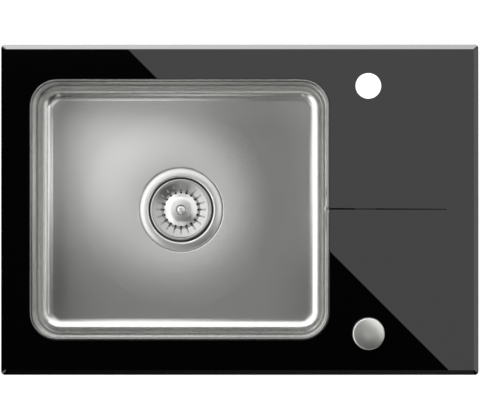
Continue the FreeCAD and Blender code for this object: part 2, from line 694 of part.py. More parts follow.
def crank_shaft():
    """Shaft through the body wall with the arm that stands under the plunger."""
    half = CRANK_WIDTH / 2
    shaft_at = V(SHAFT_X, 0, SHAFT_Z)
    under_plunger = V(0, 0, CRANK_TIP_Z)
    tip = under_plunger + (under_plunger - shaft_at).normalize() * CRANK_OVERHANG
    arm = link(shaft_at, CRANK_HUB_R, tip, CRANK_TIP_R, -half, half)
    shaft = rod(SHAFT_R, V(SHAFT_X, half, SHAFT_Z), V(SHAFT_X, LEVER_FRONT - SHAFT_END, SHAFT_Z))
    return join(arm, shaft)


def crank_lever():
    """Outer lever with an eye slotted along its length for the cable wire."""
    shaft_at = V(SHAFT_X, 0, SHAFT_Z)
    along = V(-math.sin(HALF_SWING), 0, math.cos(HALF_SWING))
    eye = shaft_at + along * LEVER_LENGTH
    lever = link(shaft_at, LEVER_HUB_R, eye, LEVER_TIP_R, LEVER_BACK, LEVER_FRONT)
    slack = LEVER_LENGTH * (1 - math.cos(HALF_SWING)) / 2 + EYE_CLEAR
    eye_r = WIRE_R + EYE_CLEAR
    back, front = LEVER_BACK + PAST, LEVER_FRONT - PAST
    slot = link(eye - along * slack, eye_r, eye + along * slack, eye_r, back, front)
    bore = rod(SHAFT_R + THREAD_CLEAR, V(SHAFT_X, back, SHAFT_Z), V(SHAFT_X, front, SHAFT_Z))
    return lever.cut([slot, bore])


def plunger():
    """Pin with a round end that rides on the crank arm, and a collar that stops it under the spider."""
    ball_at = V(0, 0, PLUNGER_BALL_Z)
    pin = rod(PLUNGER_R, ball_at, V(0, 0, PLUNGER_TOP))
    collar = rod(PLUNGER_FOOT_R, ball_at, V(0, 0, FOOT_TOP))
    return join(pin, collar, Part.makeSphere(PLUNGER_R, ball_at))


def cable_wire():
    """Pulled wire: a peg through the lever eye, and a straight run that slides in the ferrule."""
    elbow = V(EYE_X, WIRE_Y, WIRE_Z)
    run = rod(WIRE_R, elbow, V(FERRULE_X + WIRE_HELD, WIRE_Y, WIRE_Z))
    peg = rod(WIRE_R, elbow, V(EYE_X, LEVER_BACK + SEAT_GAP / 2, WIRE_Z))
    knee = Part.makeSphere(WIRE_R, elbow)
    return join(run, peg, knee)


def cable_ferrule():
    start = V(FERRULE_X, WIRE_Y, WIRE_Z)
    end = V(FERRULE_END, WIRE_Y, WIRE_Z)
    socket = V(FERRULE_END - FERRULE_SOCKET, WIRE_Y, WIRE_Z)
    past = V(PAST, 0, 0)
    wire_bore = rod(WIRE_R + EYE_CLEAR, start - past, end)
    sheath_socket = rod(CABLE_R + THREAD_CLEAR, socket, end + past)
    return rod(FERRULE_R, start, end).cut([wire_bore, sheath_socket])


def cable_bracket():
    """Angle plate on the shaft boss that holds the ferrule in its tab."""
    front = BOSS_END + BRACKET_BACK
    back = front + BRACKET_THICK
    reach = SHAFT_BOSS_R + BRACKET_MARGIN
    tab_half = FERRULE_R + BRACKET_MARGIN
    tab_end = TAB_X + BRACKET_THICK
    plate = block(V(SHAFT_X - reach, front, SHAFT_Z - reach), V(tab_end, back, WIRE_Z + tab_half))
    tab = block(V(TAB_X, WIRE_Y - tab_half, WIRE_Z - tab_half), V(tab_end, back, WIRE_Z + tab_half))
    boss_hole = rod(
        SHAFT_BOSS_R + THREAD_CLEAR, V(SHAFT_X, back + PAST, SHAFT_Z), V(SHAFT_X, front - PAST, SHAFT_Z)
    )
    ferrule_hole = rod(
        FERRULE_R + THREAD_CLEAR, V(TAB_X - PAST, WIRE_Y, WIRE_Z), V(tab_end + PAST, WIRE_Y, WIRE_Z)
    )
    return join(plate, tab).cut([boss_hole, ferrule_hole])


def ferrule_nuts():
    """Lock nuts on both faces of the bracket tab."""
    upright = nut(6, FERRULE_NUT_R, FERRULE_R + THREAD_CLEAR, 0, FERRULE_NUT_THICK)
    lying = turned_about(upright, ALONG_Y, 90)
    starts = (TAB_X - FERRULE_NUT_THICK, TAB_X + BRACKET_THICK)
    return group([moved(lying, V(x, WIRE_Y, WIRE_Z)) for x in starts])


def outlet_spigot():
    """Threaded spigot, welded under the cone of the body."""
    return tube(SPIGOT_R, TAIL_R - TAIL_WALL, SPIGOT_END, SPIGOT_TOP)


def outlet_washer():
    return tube(SPIGOT_R, TAIL_R - TAIL_WALL, COLLAR_TOP, SPIGOT_END)


def outlet_nut():
    stack = OUTLET_WASHER_THICK + TAIL_COLLAR_THICK
    return moved(union_nut(SPIGOT_R, OUTLET_NUT_RIM, TAIL_R + SEAT_GAP, stack), V(0, 0, SPIGOT_END))


def outlet_tail():
    collar_low = COLLAR_TOP - TAIL_COLLAR_THICK
    bore = TAIL_R - TAIL_WALL
    low = collar_low - TAIL_LENGTH
    corners = [
        (bore, COLLAR_TOP),
        (SPIGOT_R, COLLAR_TOP),
        (SPIGOT_R, collar_low),
        (TAIL_NECK_R, collar_low),
        (TAIL_NECK_R, low + TAIL_FREE),
        (TAIL_R, low + TAIL_FREE),
        (TAIL_R, low),
        (bore, low),
    ]
    return turned(section(corners))


def basket():
    """Pressed strainer: rolled rim, cone, slotted valley, raised dome in the middle."""
    valley_z = BASKET_LEVEL - BASKET_DROP
    line = [
        (BASKET_R, BASKET_LEVEL - BASKET_RIM_CURL),
        (BASKET_R - BASKET_RIM_WIDTH / 2, BASKET_LEVEL),
        (BASKET_R - BASKET_RIM_WIDTH, BASKET_LEVEL - BASKET_RIM_STEP),
        (VALLEY_OUTER_R, valley_z),
        (VALLEY_INNER_R, valley_z),
        (DOME_EDGE_R, valley_z + DOME_RISE),
        (DOME_FLAT_R, DOME_Z),
        (STEM_R + THREAD_CLEAR, DOME_Z),
    ]
    shell = turned(sheet_section(line, BASKET_BENDS, BASKET_SHEET))
    slot_r = SLOT_WIDTH / 2
    low, high = valley_z - PAST, BASKET_LEVEL + PAST
    slot = join(
        block(V(SLOT_INNER_R + slot_r, -slot_r, low), V(SLOT_OUTER_R - slot_r, slot_r, high)),
        rod(slot_r, V(SLOT_INNER_R + slot_r, 0, low), V(SLOT_INNER_R + slot_r, 0, high)),
        rod(slot_r, V(SLOT_OUTER_R - slot_r, 0, low), V(SLOT_OUTER_R - slot_r, 0, high)),
    )
    return shell.cut(ring_of(slot, SLOT_COUNT))


def basket_knob():
    base = BASKET_KNOB_BASE
    top = base + BASKET_KNOB_HEIGHT
    bore = STEM_R + THREAD_CLEAR
    corners = [
        (bore, base),
        (BASKET_KNOB_NECK_R, base),
        (BASKET_KNOB_NECK_R, base + BASKET_KNOB_NECK),
        (BASKET_KNOB_R, base + BASKET_KNOB_NECK + BASKET_KNOB_FLARE),
        (BASKET_KNOB_R, top),
        (0, top),
        (0, base + STEM_SOCKET),
        (bore, base + STEM_SOCKET),
    ]
    flare_r = BASKET_KNOB_FLARE / 2
    return turned(section(corners, [0, flare_r, flare_r, BASKET_KNOB_EDGE_R, 0, 0, 0]))


def basket_stem():
    return rod(STEM_R, V(0, 0, STEM_BOTTOM), V(0, 0, BASKET_KNOB_BASE + STEM_SOCKET))


def basket_seal():
    """Rubber umbrella on the stem that closes the holes of the cup."""
    bore = STEM_R + THREAD_CLEAR
    shoulder = BOLT_HEAD_R + BASKET_SEAL_WALL
    top = CUP_FLOOR + BASKET_SEAL_HEIGHT
    corners = [
        (bore, top - BASKET_SEAL_WALL),
        (shoulder - BASKET_SEAL_WALL, top - BASKET_SEAL_WALL),
        (BASKET_SEAL_R - BASKET_SEAL_LIP, CUP_FLOOR),
        (BASKET_SEAL_R, CUP_FLOOR),
        (BASKET_SEAL_R, CUP_FLOOR + BASKET_SEAL_WALL / 2),
        (shoulder, top),
        (bore, top),
    ]
    return turned(section(corners))


def overflow_rosette():
    disc = rod(ROSETTE_R, V(0, 0, -ROSETTE_THICK), ORIGIN)
    disc = disc.makeChamfer(ROSETTE_THICK / 2, [e for e in disc.Edges if e.BoundBox.ZMax < -TINY])
    hole_ring = (OVERFLOW_SCREW_HEAD_R + OVERFLOW_HOLE_R) / 2
    hole = rod(ROSETTE_HOLE_R, V(hole_ring, 0, -ROSETTE_THICK - PAST), V(hole_ring, 0, PAST))
    screw_hole = rod(OVERFLOW_SCREW_R + THREAD_CLEAR, V(0, 0, -ROSETTE_THICK - PAST), V(0, 0, PAST))
    return on_overflow(disc.cut([screw_hole, *ring_of(hole, ROSETTE_HOLES)]))


def overflow_screw():
    under_head = V(0, 0, -ROSETTE_THICK)
    head = rod(OVERFLOW_SCREW_HEAD_R, under_head - V(0, 0, OVERFLOW_SCREW_HEAD), under_head)
    rim = [e for e in head.Edges if e.BoundBox.ZMax < under_head.z - TINY]
    head = head.makeFillet(OVERFLOW_SCREW_HEAD / 2, rim)
    shank = rod(OVERFLOW_SCREW_R, under_head, V(0, 0, ELBOW_FACE + OVERFLOW_SCREW_BITE))
    return on_overflow(join(head, shank))


def overflow_gasket():
    return on_overflow(tube(ROSETTE_R, OVERFLOW_HOLE_R, SHEET, ELBOW_FACE))


def overflow_elbow():
    """Collecting chamber behind the wall, with a spigot that points down."""
    flange = rod(ROSETTE_R, V(0, 0, ELBOW_FACE), V(0, 0, ELBOW_FACE + ELBOW_FLANGE_THICK))
    shell = rod(ELBOW_R, V(0, 0, ELBOW_FACE), V(0, 0, ELBOW_BACK + ELBOW_WALL))
    spigot = rod(PIPE_SPIGOT_R, V(0, 0, ELBOW_SPIGOT_AT), V(ELBOW_END, 0, ELBOW_SPIGOT_AT))
    socket_start = V(ELBOW_END - PIPE_INSERT - SOCKET_SPARE, 0, ELBOW_SPIGOT_AT)
    cutters = [
        rod(OVERFLOW_HOLE_R, V(0, 0, ELBOW_FACE - PAST), V(0, 0, ELBOW_BACK)),
        rod(SPIGOT_BORE, V(0, 0, ELBOW_SPIGOT_AT), socket_start),
        rod(PIPE_R + THREAD_CLEAR, socket_start, V(ELBOW_END + PAST, 0, ELBOW_SPIGOT_AT)),
    ]
    boss = rod(SCREW_BOSS_R, V(0, 0, ELBOW_FACE), V(0, 0, ELBOW_BACK + ELBOW_WALL / 2))
    thread = rod(OVERFLOW_SCREW_R + THREAD_CLEAR, V(0, 0, ELBOW_FACE - PAST), V(0, 0, ELBOW_BACK))
    return on_overflow(join(join(flange, shell, spigot).cut(cutters), boss).cut(thread))


def pipe_ends():
    """Where the overflow pipe meets the end of each spigot, and which way it leaves."""
    elbow = V(WALL_IN + ELBOW_SPIGOT_AT, 0, OVERFLOW_Z - ELBOW_END)
    inlet = DRAIN + V(INLET_END, 0, -INLET_DROP)
    return ((elbow, -UP), (inlet, ALONG_X))


def overflow_pipe():
    (elbow, down), (inlet, right) = pipe_ends()
    path = [elbow - down * PIPE_INSERT, V(elbow.x, 0, inlet.z), inlet - right * PIPE_INSERT]
    wire = Part.Wire(rounded_path(path, [PIPE_BEND_R]))
    solids = []
    for radius in (PIPE_R, SPIGOT_BORE):
        circle = Part.Wire(Part.makeCircle(radius, path[0], down))
        solids.append(wire.makePipeShell([circle], True, False))
    return solids[0].cut(solids[1])


def on_pipe_ends(shape):
    """Copies of a shape made for a spigot that ends at z = 0 with its pipe leaving downwards."""
    (elbow, _), (inlet, _) = pipe_ends()
    return group([moved(shape, elbow), moved(turned_about(shape, ALONG_Y, -90), inlet)])


def overflow_nuts():
    return on_pipe_ends(union_nut(PIPE_SPIGOT_R, PIPE_NUT_RIM, PIPE_R + SEAT_GAP, PIPE_WASHER_THICK))


def overflow_washers():
    return on_pipe_ends(tube(PIPE_SPIGOT_R, PIPE_R + THREAD_CLEAR, -PIPE_WASHER_THICK, 0))


def knob():
    """Turned cap over the flange of the bush, drilled for the spindle and its grub screw."""
    top = KNOB_LIFT + KNOB_HEIGHT
    cavity_r = KNOB_R - KNOB_SKIRT
    roof = BUSH_TOP + SEAT_GAP
    bore = SPINDLE_R + THREAD_CLEAR
    slope = math.atan2(KNOB_CROWN, KNOB_R / 2)
    crown_r = KNOB_R / 3 / math.tan(slope / 2)
    corners = [
        (bore, roof),
        (cavity_r, roof),
        (cavity_r, KNOB_LIFT),
        (KNOB_R, KNOB_LIFT),
        (KNOB_R, top - KNOB_CROWN),
        (KNOB_R / 2, top),
        (0, top),
        (0, SPINDLE_TOP),
        (bore, SPINDLE_TOP),
    ]
    cap = turned(section(corners, [0, 0, 0, KNOB_EDGE_R, crown_r, 0, 0, 0]))
    return cap.cut(grub_hole(THREAD_CLEAR, KNOB_R + PAST))


def grub_hole(clear, outer):
    """Radial cylinder from the spindle towards the back of the knob."""
    z = (BUSH_TOP + SPINDLE_TOP) / 2
    return rod(KNOB_SCREW_R + clear, V(0, SPINDLE_R - clear, z), V(0, outer, z))


def knob_screw():
    return grub_hole(0.0, SPINDLE_R + KNOB_SCREW_LENGTH)


def knob_spindle():
    return rod(SPINDLE_R, V(0, 0, DRUM_BOTTOM), V(0, 0, SPINDLE_TOP))


def spindle_circlip():
    return tube(SPINDLE_R + CIRCLIP_WIDTH, SPINDLE_R + THREAD_CLEAR, CIRCLIP_TOP - CIRCLIP_THICK, CIRCLIP_TOP)


def cable_drum():
    bore = SPINDLE_R + THREAD_CLEAR
    corners = [
        (bore, DRUM_BOTTOM),
        (DRUM_FLANGE_R, DRUM_BOTTOM),
        (DRUM_FLANGE_R, DRUM_BOTTOM + DRUM_FLANGE_THICK),
        (DRUM_R, DRUM_BOTTOM + DRUM_FLANGE_THICK),
        (DRUM_R, DRUM_TOP - DRUM_FLANGE_THICK),
        (DRUM_FLANGE_R, DRUM_TOP - DRUM_FLANGE_THICK),
        (DRUM_FLANGE_R, DRUM_TOP),
        (bore, DRUM_TOP),
    ]
    return turned(section(corners))


def knob_bush():
    bore = SPINDLE_R + RUN_CLEAR
    corners = [
        (bore, -BUSH_LENGTH),
        (BUSH_R, -BUSH_LENGTH),
        (BUSH_R, KNOB_SEAL_THICK),
        (BUSH_FLANGE_R, KNOB_SEAL_THICK),
        (BUSH_FLANGE_R, BUSH_TOP),
        (bore, BUSH_TOP),
    ]
    return turned(section(corners))


def knob_seal():
    return tube(BUSH_FLANGE_R, BUSH_R + THREAD_CLEAR, 0, KNOB_SEAL_THICK)


def knob_washer():
    return tube(KNOB_WASHER_R, BUSH_R + THREAD_CLEAR, -GLASS_THICK - KNOB_WASHER_THICK, -GLASS_THICK)


def knob_nut():
    high = -GLASS_THICK - KNOB_WASHER_THICK
    return nut(6, KNOB_NUT_R, BUSH_R + THREAD_CLEAR, high - KNOB_NUT_THICK, high)


def cable_housing():
    """Cup screwed on the end of the bush round the drum, with a side port for the cable."""
    high = -BUSH_LENGTH + HOUSING_GRIP
    inner = BUSH_R + THREAD_CLEAR
    cup = rod(HOUSING_R + THREAD_CLEAR, V(0, 0, HOUSING_BOTTOM), V(0, 0, high))
    port_x = -DRUM_R - CABLE_R
    port = rod(PORT_R, V(port_x, 0, DRUM_MIDDLE), V(port_x, PORT_END, DRUM_MIDDLE))
    cavity = rod(inner, V(0, 0, HOUSING_BOTTOM + HOUSING_FLOOR), V(0, 0, high + PAST))
    socket_start = V(port_x, PORT_END - PORT_HELD, DRUM_MIDDLE)
    socket = rod(CABLE_R + THREAD_CLEAR, socket_start, V(port_x, PORT_END + PAST, DRUM_MIDDLE))
    wire_hole = rod(WIRE_R + EYE_CLEAR, V(port_x, 0, DRUM_MIDDLE), socket_start)
    return join(cup, port).cut([cavity, socket, wire_hole])


def cable_route():
    """Points of the cable from the housing port, down beside the bowl and under it to the ferrule."""
    port = KNOB_AT + V(-DRUM_R - CABLE_R, PORT_END, DRUM_MIDDLE)
    ferrule = DRAIN + V(FERRULE_END, WIRE_Y, WIRE_Z)
    return [
        port + V(0, -PORT_HELD, 0),
        port + V(0, 20, 0),
        port + V(-2, 44, -32),
        port + V(-9, 58, -80),
        ferrule + V(158, 6, 58),
        ferrule + V(126, 3, 18),
        ferrule + V(81, 0.5, 2),
        ferrule + V(34, 0, 0),
        ferrule + V(-FERRULE_SOCKET, 0, 0),
    ]


def control_cable():
    """Cable sheath: straight runs with arcs as large as the runs beside them allow."""
    points = cable_route()
    radii = []
    for before, corner, after in zip(points, points[1:], points[2:]):
        turn = (corner - before).getAngle(after - corner)
        shorter = min((corner - before).Length, (after - corner).Length)
        radii.append(BEND_SHARE * shorter / math.tan(turn / 2))
    wire = Part.Wire(rounded_path(points, radii))
    circle = Part.Wire(Part.makeCircle(CABLE_R, points[0], points[1] - points[0]))
    solid = wire.makePipeShell([circle], True, False)
    share = solid.Volume / (math.pi * CABLE_R**2 * wire.Length)
    print("cable length", round(wire.Length, 1), "volume over section x length", round(share, 4))
    print("cable bend radii", [round(r, 1) for r in radii])
    return solid


def clip_spots():
    """Places of the six studs: three along the back edge and three along the front edge."""
    seal_edge = GLASS_WIDTH / 2 - SEAL_INSET - SEAL_WIDTH
    flange_edge = BOWL_WIDTH / 2 + FLANGE_WIDTH
    y = (seal_edge + flange_edge) / 2
    xs = (CLIP_FROM_LEFT - GLASS_LENGTH / 2, BOWL_X + CLIP_FROM_DRAIN, GLASS_LENGTH / 2 - CLIP_FROM_RIGHT)
    return [V(x, side * y, GLASS_BOTTOM) for side in (1, -1) for x in xs]


def stud_plates():
    """Plates bonded under the glass, each with its threaded stud."""
    half = V(STUD_PLATE_LENGTH / 2, STUD_PLATE_WIDTH / 2, 0)
    plate = block(V(0, 0, -STUD_PLATE_THICK) - half, half)
    stud = rod(STUD_R, V(0, 0, -STUD_DROP), V(0, 0, -STUD_PLATE_THICK / 2))
    pair = join(plate, stud)
    return group([moved(pair, spot) for spot in clip_spots()])


def clip():
    """Claw that turns on the stud and bites the worktop from below."""
    low = -CLIP_DROP
    half = CLIP_WIDTH / 2
    eye = rod(half, V(0, 0, low), V(0, 0, low + CLIP_THICK))
    arm = block(V(0, -half, low), V(CLIP_LENGTH, half, low + CLIP_THICK))
    claw = block(V(CLIP_LENGTH - CLIP_THICK, -half, low), V(CLIP_LENGTH, half, low + CLIP_CLAW))
    hole = rod(STUD_R + RUN_CLEAR, V(0, 0, low - PAST), V(0, 0, low + CLIP_THICK + PAST))
    return join(eye, arm, claw).cut(hole)


def clip_nuts():
    high = -CLIP_DROP
    hex_nut = nut(6, CLIP_NUT_R, STUD_R + THREAD_CLEAR, high - CLIP_NUT_THICK, high)
    return group([moved(hex_nut, spot) for spot in clip_spots()])


def on_drain(make):
    return moved(make(), DRAIN)


def on_knob(make):
    return moved(make(), KNOB_AT)


def all_parts():
    """Every node's name and its finished solid."""
    placed = [glass_top, worktop_seal, bowl, bowl_bond]
    placed += [overflow_rosette, overflow_screw, overflow_gasket, overflow_elbow]
    placed += [overflow_pipe, overflow_nuts, overflow_washers]
    placed += [control_cable, stud_plates, clip_nuts]
    at_drain = [waste_cup, cup_gasket, body_gasket, clamp_bolt, waste_body]
    at_drain += [outlet_spigot, outlet_washer, outlet_nut, outlet_tail]
    at_drain += [basket, basket_knob, basket_stem, basket_seal]
    at_drain += [plunger, crank_shaft, crank_lever, shaft_seal]
    at_drain += [cable_wire, cable_ferrule, cable_bracket, ferrule_nuts]
    at_knob = [knob, knob_screw, knob_spindle, spindle_circlip, cable_drum]
    at_knob += [knob_bush, knob_seal, knob_washer, knob_nut, cable_housing]
    parts = {make.__name__: make() for make in placed}
    parts.update({make.__name__: on_drain(make) for make in at_drain})
    parts.update({make.__name__: on_knob(make) for make in at_knob})
    for number, spot in enumerate(clip_spots(), 1):
        parts[f"clip_{number}"] = moved(clip(), spot)
    return parts


os.makedirs("parts", exist_ok=True)
for name, shape in all_parts().items():
    if not shape.isValid():
        raise RuntimeError(f"{name} is not a valid solid")
    print(name, len(shape.Solids), "solid(s)", round(shape.Volume), "mm3")
    shape.exportStep(f"parts/{name}.step")
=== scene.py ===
# %% [markdown]
# # An inset kitchen sink with a black glass top
# The object is a toughened glass plate with a deep-drawn steel bowl bonded into it. A basket
# waste sits in the bowl floor, and a round knob on the glass works it through a cable.
# Its solids come from a CAD model, which is loaded here as a fixed frame. This lesson gives
# those solids their finishes, adds the fine forms that a CAD model leaves plain, and sets up
# the camera and the studio.

# %% Load the frame
import json
import math

import bpy
from mathutils import Matrix, Vector


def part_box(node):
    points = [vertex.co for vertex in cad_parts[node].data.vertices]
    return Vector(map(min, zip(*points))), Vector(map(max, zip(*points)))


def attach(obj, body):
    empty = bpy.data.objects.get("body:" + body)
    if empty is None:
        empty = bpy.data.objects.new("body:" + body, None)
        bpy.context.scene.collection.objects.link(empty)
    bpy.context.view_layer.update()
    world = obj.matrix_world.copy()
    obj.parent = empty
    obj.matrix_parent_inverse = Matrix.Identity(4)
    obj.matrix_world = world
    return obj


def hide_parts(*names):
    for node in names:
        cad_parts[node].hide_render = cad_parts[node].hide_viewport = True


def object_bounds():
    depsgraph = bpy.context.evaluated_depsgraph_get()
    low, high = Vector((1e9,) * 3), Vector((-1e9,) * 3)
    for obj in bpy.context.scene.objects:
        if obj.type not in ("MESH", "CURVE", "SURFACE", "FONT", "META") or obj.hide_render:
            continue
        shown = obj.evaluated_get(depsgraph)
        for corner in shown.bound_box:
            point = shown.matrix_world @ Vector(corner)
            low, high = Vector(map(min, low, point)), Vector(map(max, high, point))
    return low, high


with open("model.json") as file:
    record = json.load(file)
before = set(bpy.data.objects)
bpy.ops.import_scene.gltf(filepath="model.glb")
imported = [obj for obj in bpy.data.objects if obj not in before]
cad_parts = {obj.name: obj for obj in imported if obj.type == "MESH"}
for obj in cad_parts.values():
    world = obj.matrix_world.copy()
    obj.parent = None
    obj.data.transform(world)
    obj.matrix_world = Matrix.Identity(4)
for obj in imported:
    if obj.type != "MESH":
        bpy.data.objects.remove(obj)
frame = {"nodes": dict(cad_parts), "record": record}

MM = 0.001
MICRON = 0.001 * MM
cad_low, cad_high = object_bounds()
print("nodes", len(frame["nodes"]), "box", cad_low, cad_high)

# %% [markdown]
# ## Camera
# The photograph looks straight down from far away, so the sides of the bowl hardly show.
# A long lens gives that view. An orthographic camera would hide the walls of the bowl
# altogether, so a perspective camera is better. Its lens and place follow from where the
# edges of the glass lie in the picture, and its height from how much of the walls shows.

# %% Camera
IMAGE_WIDTH, IMAGE_HEIGHT = 480, 420
GLASS_LEFT_PX, GLASS_RIGHT_PX = 1.0, 478.6
GLASS_MIDDLE_PX = 209.65
CAMERA_HEIGHT = 8.0
CLIP_END = 100.0
SENSOR_MM = 36.0

glass_low, glass_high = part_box("glass_top")
GLASS_TOP = glass_high.z
metres_per_px = (glass_high.x - glass_low.x) / (GLASS_RIGHT_PX - GLASS_LEFT_PX)
view_x = glass_low.x + (IMAGE_WIDTH / 2 - GLASS_LEFT_PX) * metres_per_px
view_y = (glass_low.y + glass_high.y) / 2 + (GLASS_MIDDLE_PX - IMAGE_HEIGHT / 2) * metres_per_px

camera_data = bpy.data.cameras.new("camera")
camera_data.sensor_width = SENSOR_MM
camera_data.lens = SENSOR_MM * CAMERA_HEIGHT / (IMAGE_WIDTH * metres_per_px)
camera_data.clip_end = CLIP_END
camera = bpy.data.objects.new("camera", camera_data)
camera.location = (view_x, view_y, GLASS_TOP + CAMERA_HEIGHT)
bpy.context.collection.objects.link(camera)
bpy.context.scene.camera = camera
bpy.context.scene.view_settings.view_transform = "Standard"
print("lens", round(camera_data.lens, 1), "camera at", camera.location)

# %% [markdown]
# ## Helpers for node trees
# Every finish below is a small tree of shader nodes. `add` makes one node, sets its options and
# fills its inputs, and an input that is given another node's socket is linked to it. Inputs go by
# name where a name is not shared. Those of a Math node go by number, and so do the two colours of a
# Mix node, 6 and 7, whose mixed colour is output 2. Colours are written as sRGB hex values, as a
# picker shows them, and `linear` turns them into the linear values that the renderer works with.

# %% Helpers for node trees
def linear(hex_colour):
    channels = [int(hex_colour[i:i + 2], 16) / 255 for i in (0, 2, 4)]
    return [c / 12.92 if c <= 0.04045 else ((c + 0.055) / 1.055) ** 2.4 for c in channels] + [1.0]


def add(tree, kind, inputs=None, **options):
    node = tree.nodes.new(kind)
    for name, value in options.items():
        setattr(node, name, value)
    for key, value in (inputs or {}).items():
        if isinstance(value, bpy.types.NodeSocket):
            tree.links.new(value, node.inputs[key])
        else:
            node.inputs[key].default_value = value
    return node


def new_material(name):
    material = bpy.data.materials.new(name)
    material.use_nodes = True
    material.node_tree.nodes.clear()
    return material, material.node_tree


def finish_material(tree, surface):
    add(tree, "ShaderNodeOutputMaterial", {"Surface": surface})


# %% [markdown]
# ## Floor
# The floor is pale and lies just under the outlet. It glows white to the camera and pale grey in
# reflections, where white would turn the steel to chalk. Its diffuse part still takes the shadow
# of the sink. Seen from below it is clear, so that the underside can be looked at.

# %% Floor
FLOOR_SIZE = 60.0
FLOOR_GAP = 0.5 * MM
FLOOR_PAINT = "B4B4B4"
FLOOR_GLOW = 0.9
MIRRORED_GLOW = 0.4

floor_mesh = bpy.data.meshes.new("floor")
half = FLOOR_SIZE / 2
floor_z = cad_low.z - FLOOR_GAP
floor_mesh.from_pydata(
    [(-half, -half, floor_z), (half, -half, floor_z), (half, half, floor_z), (-half, half, floor_z)],
    [],
    [(0, 1, 2, 3)],
)
floor = bpy.data.objects.new("floor", floor_mesh)
bpy.context.collection.objects.link(floor)

floor_paint, tree = new_material("pale_floor")
rays = add(tree, "ShaderNodeLightPath")
in_mirrors = add(tree, "ShaderNodeMath",
                 {0: rays.outputs["Is Glossy Ray"], 1: rays.outputs["Is Transmission Ray"]},
                 operation="MAXIMUM")
in_mirrors = add(tree, "ShaderNodeMath", {0: in_mirrors.outputs[0], 1: MIRRORED_GLOW},
                 operation="MULTIPLY")
strength = add(tree, "ShaderNodeMath",
               {0: rays.outputs["Is Camera Ray"], 1: FLOOR_GLOW, 2: in_mirrors.outputs[0]},
               operation="MULTIPLY_ADD")
glow = add(tree, "ShaderNodeEmission", {"Strength": strength.outputs[0]})
matt = add(tree, "ShaderNodeBsdfDiffuse", {"Color": linear(FLOOR_PAINT)})
both = add(tree, "ShaderNodeAddShader", {0: glow.outputs[0], 1: matt.outputs[0]})
side = add(tree, "ShaderNodeNewGeometry")
clear = add(tree, "ShaderNodeBsdfTransparent")
mix = add(tree, "ShaderNodeMixShader",
          {0: side.outputs["Backfacing"], 1: both.outputs[0], 2: clear.outputs[0]})
finish_material(tree, mix.outputs[0])
floor_mesh.materials.append(floor_paint)
print("floor at", round(floor_z, 4))

# %% [markdown]
# ## Backdrop
# The backdrop is pale to the camera. In reflections it is pale at the horizon and dark overhead,
# because black glass seen from above mirrors whatever hangs over it.

# %% Backdrop
HORIZON_GLOW = 0.9
ZENITH_GLOW = 0.01
HAZE_TOP = 0.35  # sine of the height at which the backdrop has gone dark

world = bpy.data.worlds.new("studio")
world.use_nodes = True
bpy.context.scene.world = world
tree = world.node_tree
tree.nodes.clear()
where = add(tree, "ShaderNodeTexCoord")
split = add(tree, "ShaderNodeSeparateXYZ", {0: where.outputs["Generated"]})
fade = add(tree, "ShaderNodeMapRange",
           {"Value": split.outputs["Z"], "From Min": 0.0, "From Max": HAZE_TOP,
            "To Min": HORIZON_GLOW, "To Max": ZENITH_GLOW},
           interpolation_type="SMOOTHSTEP")
rays = add(tree, "ShaderNodeLightPath")
to_camera = add(tree, "ShaderNodeMath", {0: rays.outputs["Is Camera Ray"], 1: HORIZON_GLOW},
                operation="MULTIPLY")
shown = add(tree, "ShaderNodeMath", {0: fade.outputs[0], 1: to_camera.outputs[0]},
            operation="MAXIMUM")
sky = add(tree, "ShaderNodeBackground", {"Strength": shown.outputs[0]})
add(tree, "ShaderNodeOutputWorld", {"Surface": sky.outputs[0]})
print("backdrop from", HORIZON_GLOW, "at the horizon to", ZENITH_GLOW, "overhead")

# %% [markdown]
# ## Softboxes
# Polished things show their surroundings, so the lamps are laid out by what has to be mirrored
# where. Area lamps could do it, but each of them has one brightness all over. Here a lamp is a flat
# mesh with a glow at each corner, which its cloth reads as an attribute, so that one panel can
# fade along its length. The camera doesn't see the panels, and they cast no shadow.

# %% A panel that glows
PANEL_STEPS = 8  # faces along each side of a panel

panel_cloth, tree = new_material("softbox_cloth")
glow = add(tree, "ShaderNodeAttribute", attribute_name="glow")
lamp = add(tree, "ShaderNodeEmission", {"Strength": glow.outputs["Fac"]})
finish_material(tree, lamp.outputs[0])


def softbox(name, corners, glows):
    """Panel between four corners, in order round it, with a radiance at each corner."""
    points = []
    values = []
    for i in range(PANEL_STEPS + 1):
        for j in range(PANEL_STEPS + 1):
            u, v = i / PANEL_STEPS, j / PANEL_STEPS
            weights = ((1 - u) * (1 - v), u * (1 - v), u * v, (1 - u) * v)
            points.append(sum((Vector(c) * w for c, w in zip(corners, weights)), Vector()))
            values.append(sum(g * w for g, w in zip(glows, weights)))
    row = PANEL_STEPS + 1
    starts = [i * row + j for i in range(PANEL_STEPS) for j in range(PANEL_STEPS)]
    mesh = bpy.data.meshes.new(name)
    mesh.from_pydata(points, [], [(s, s + 1, s + row + 1, s + row) for s in starts])
    mesh.attributes.new("glow", "FLOAT", "POINT").data.foreach_set("value", values)
    mesh.materials.append(panel_cloth)
    panel = bpy.data.objects.new(name, mesh)
    bpy.context.collection.objects.link(panel)
    panel.visible_camera = False
    panel.visible_shadow = False
    print(name, "glows", glows)


def flat_panel(name, x_range, y_range, height, glows):
    """Level panel. The glows are at left front, right front, right back and left back."""
    (x0, x1), (y0, y1) = x_range, y_range
    z = GLASS_TOP + height
    softbox(name, [(x0, y0, z), (x1, y0, z), (x1, y1, z), (x0, y1, z)], glows)


# %% [markdown]
# ## Softboxes beside the sink
# The glass mirrors the column of air above it, so the large softboxes hang outside that column and
# the glass stays black. A rounded corner of the bowl mirrors the softbox opposite: the left one
# draws the bright line along the right wall, the back one the line along the front wall. Both lean
# from a high near edge to a low far edge, and an apron under each carries the light further down.
# The front and the right softbox do the same for the other two walls, more weakly.

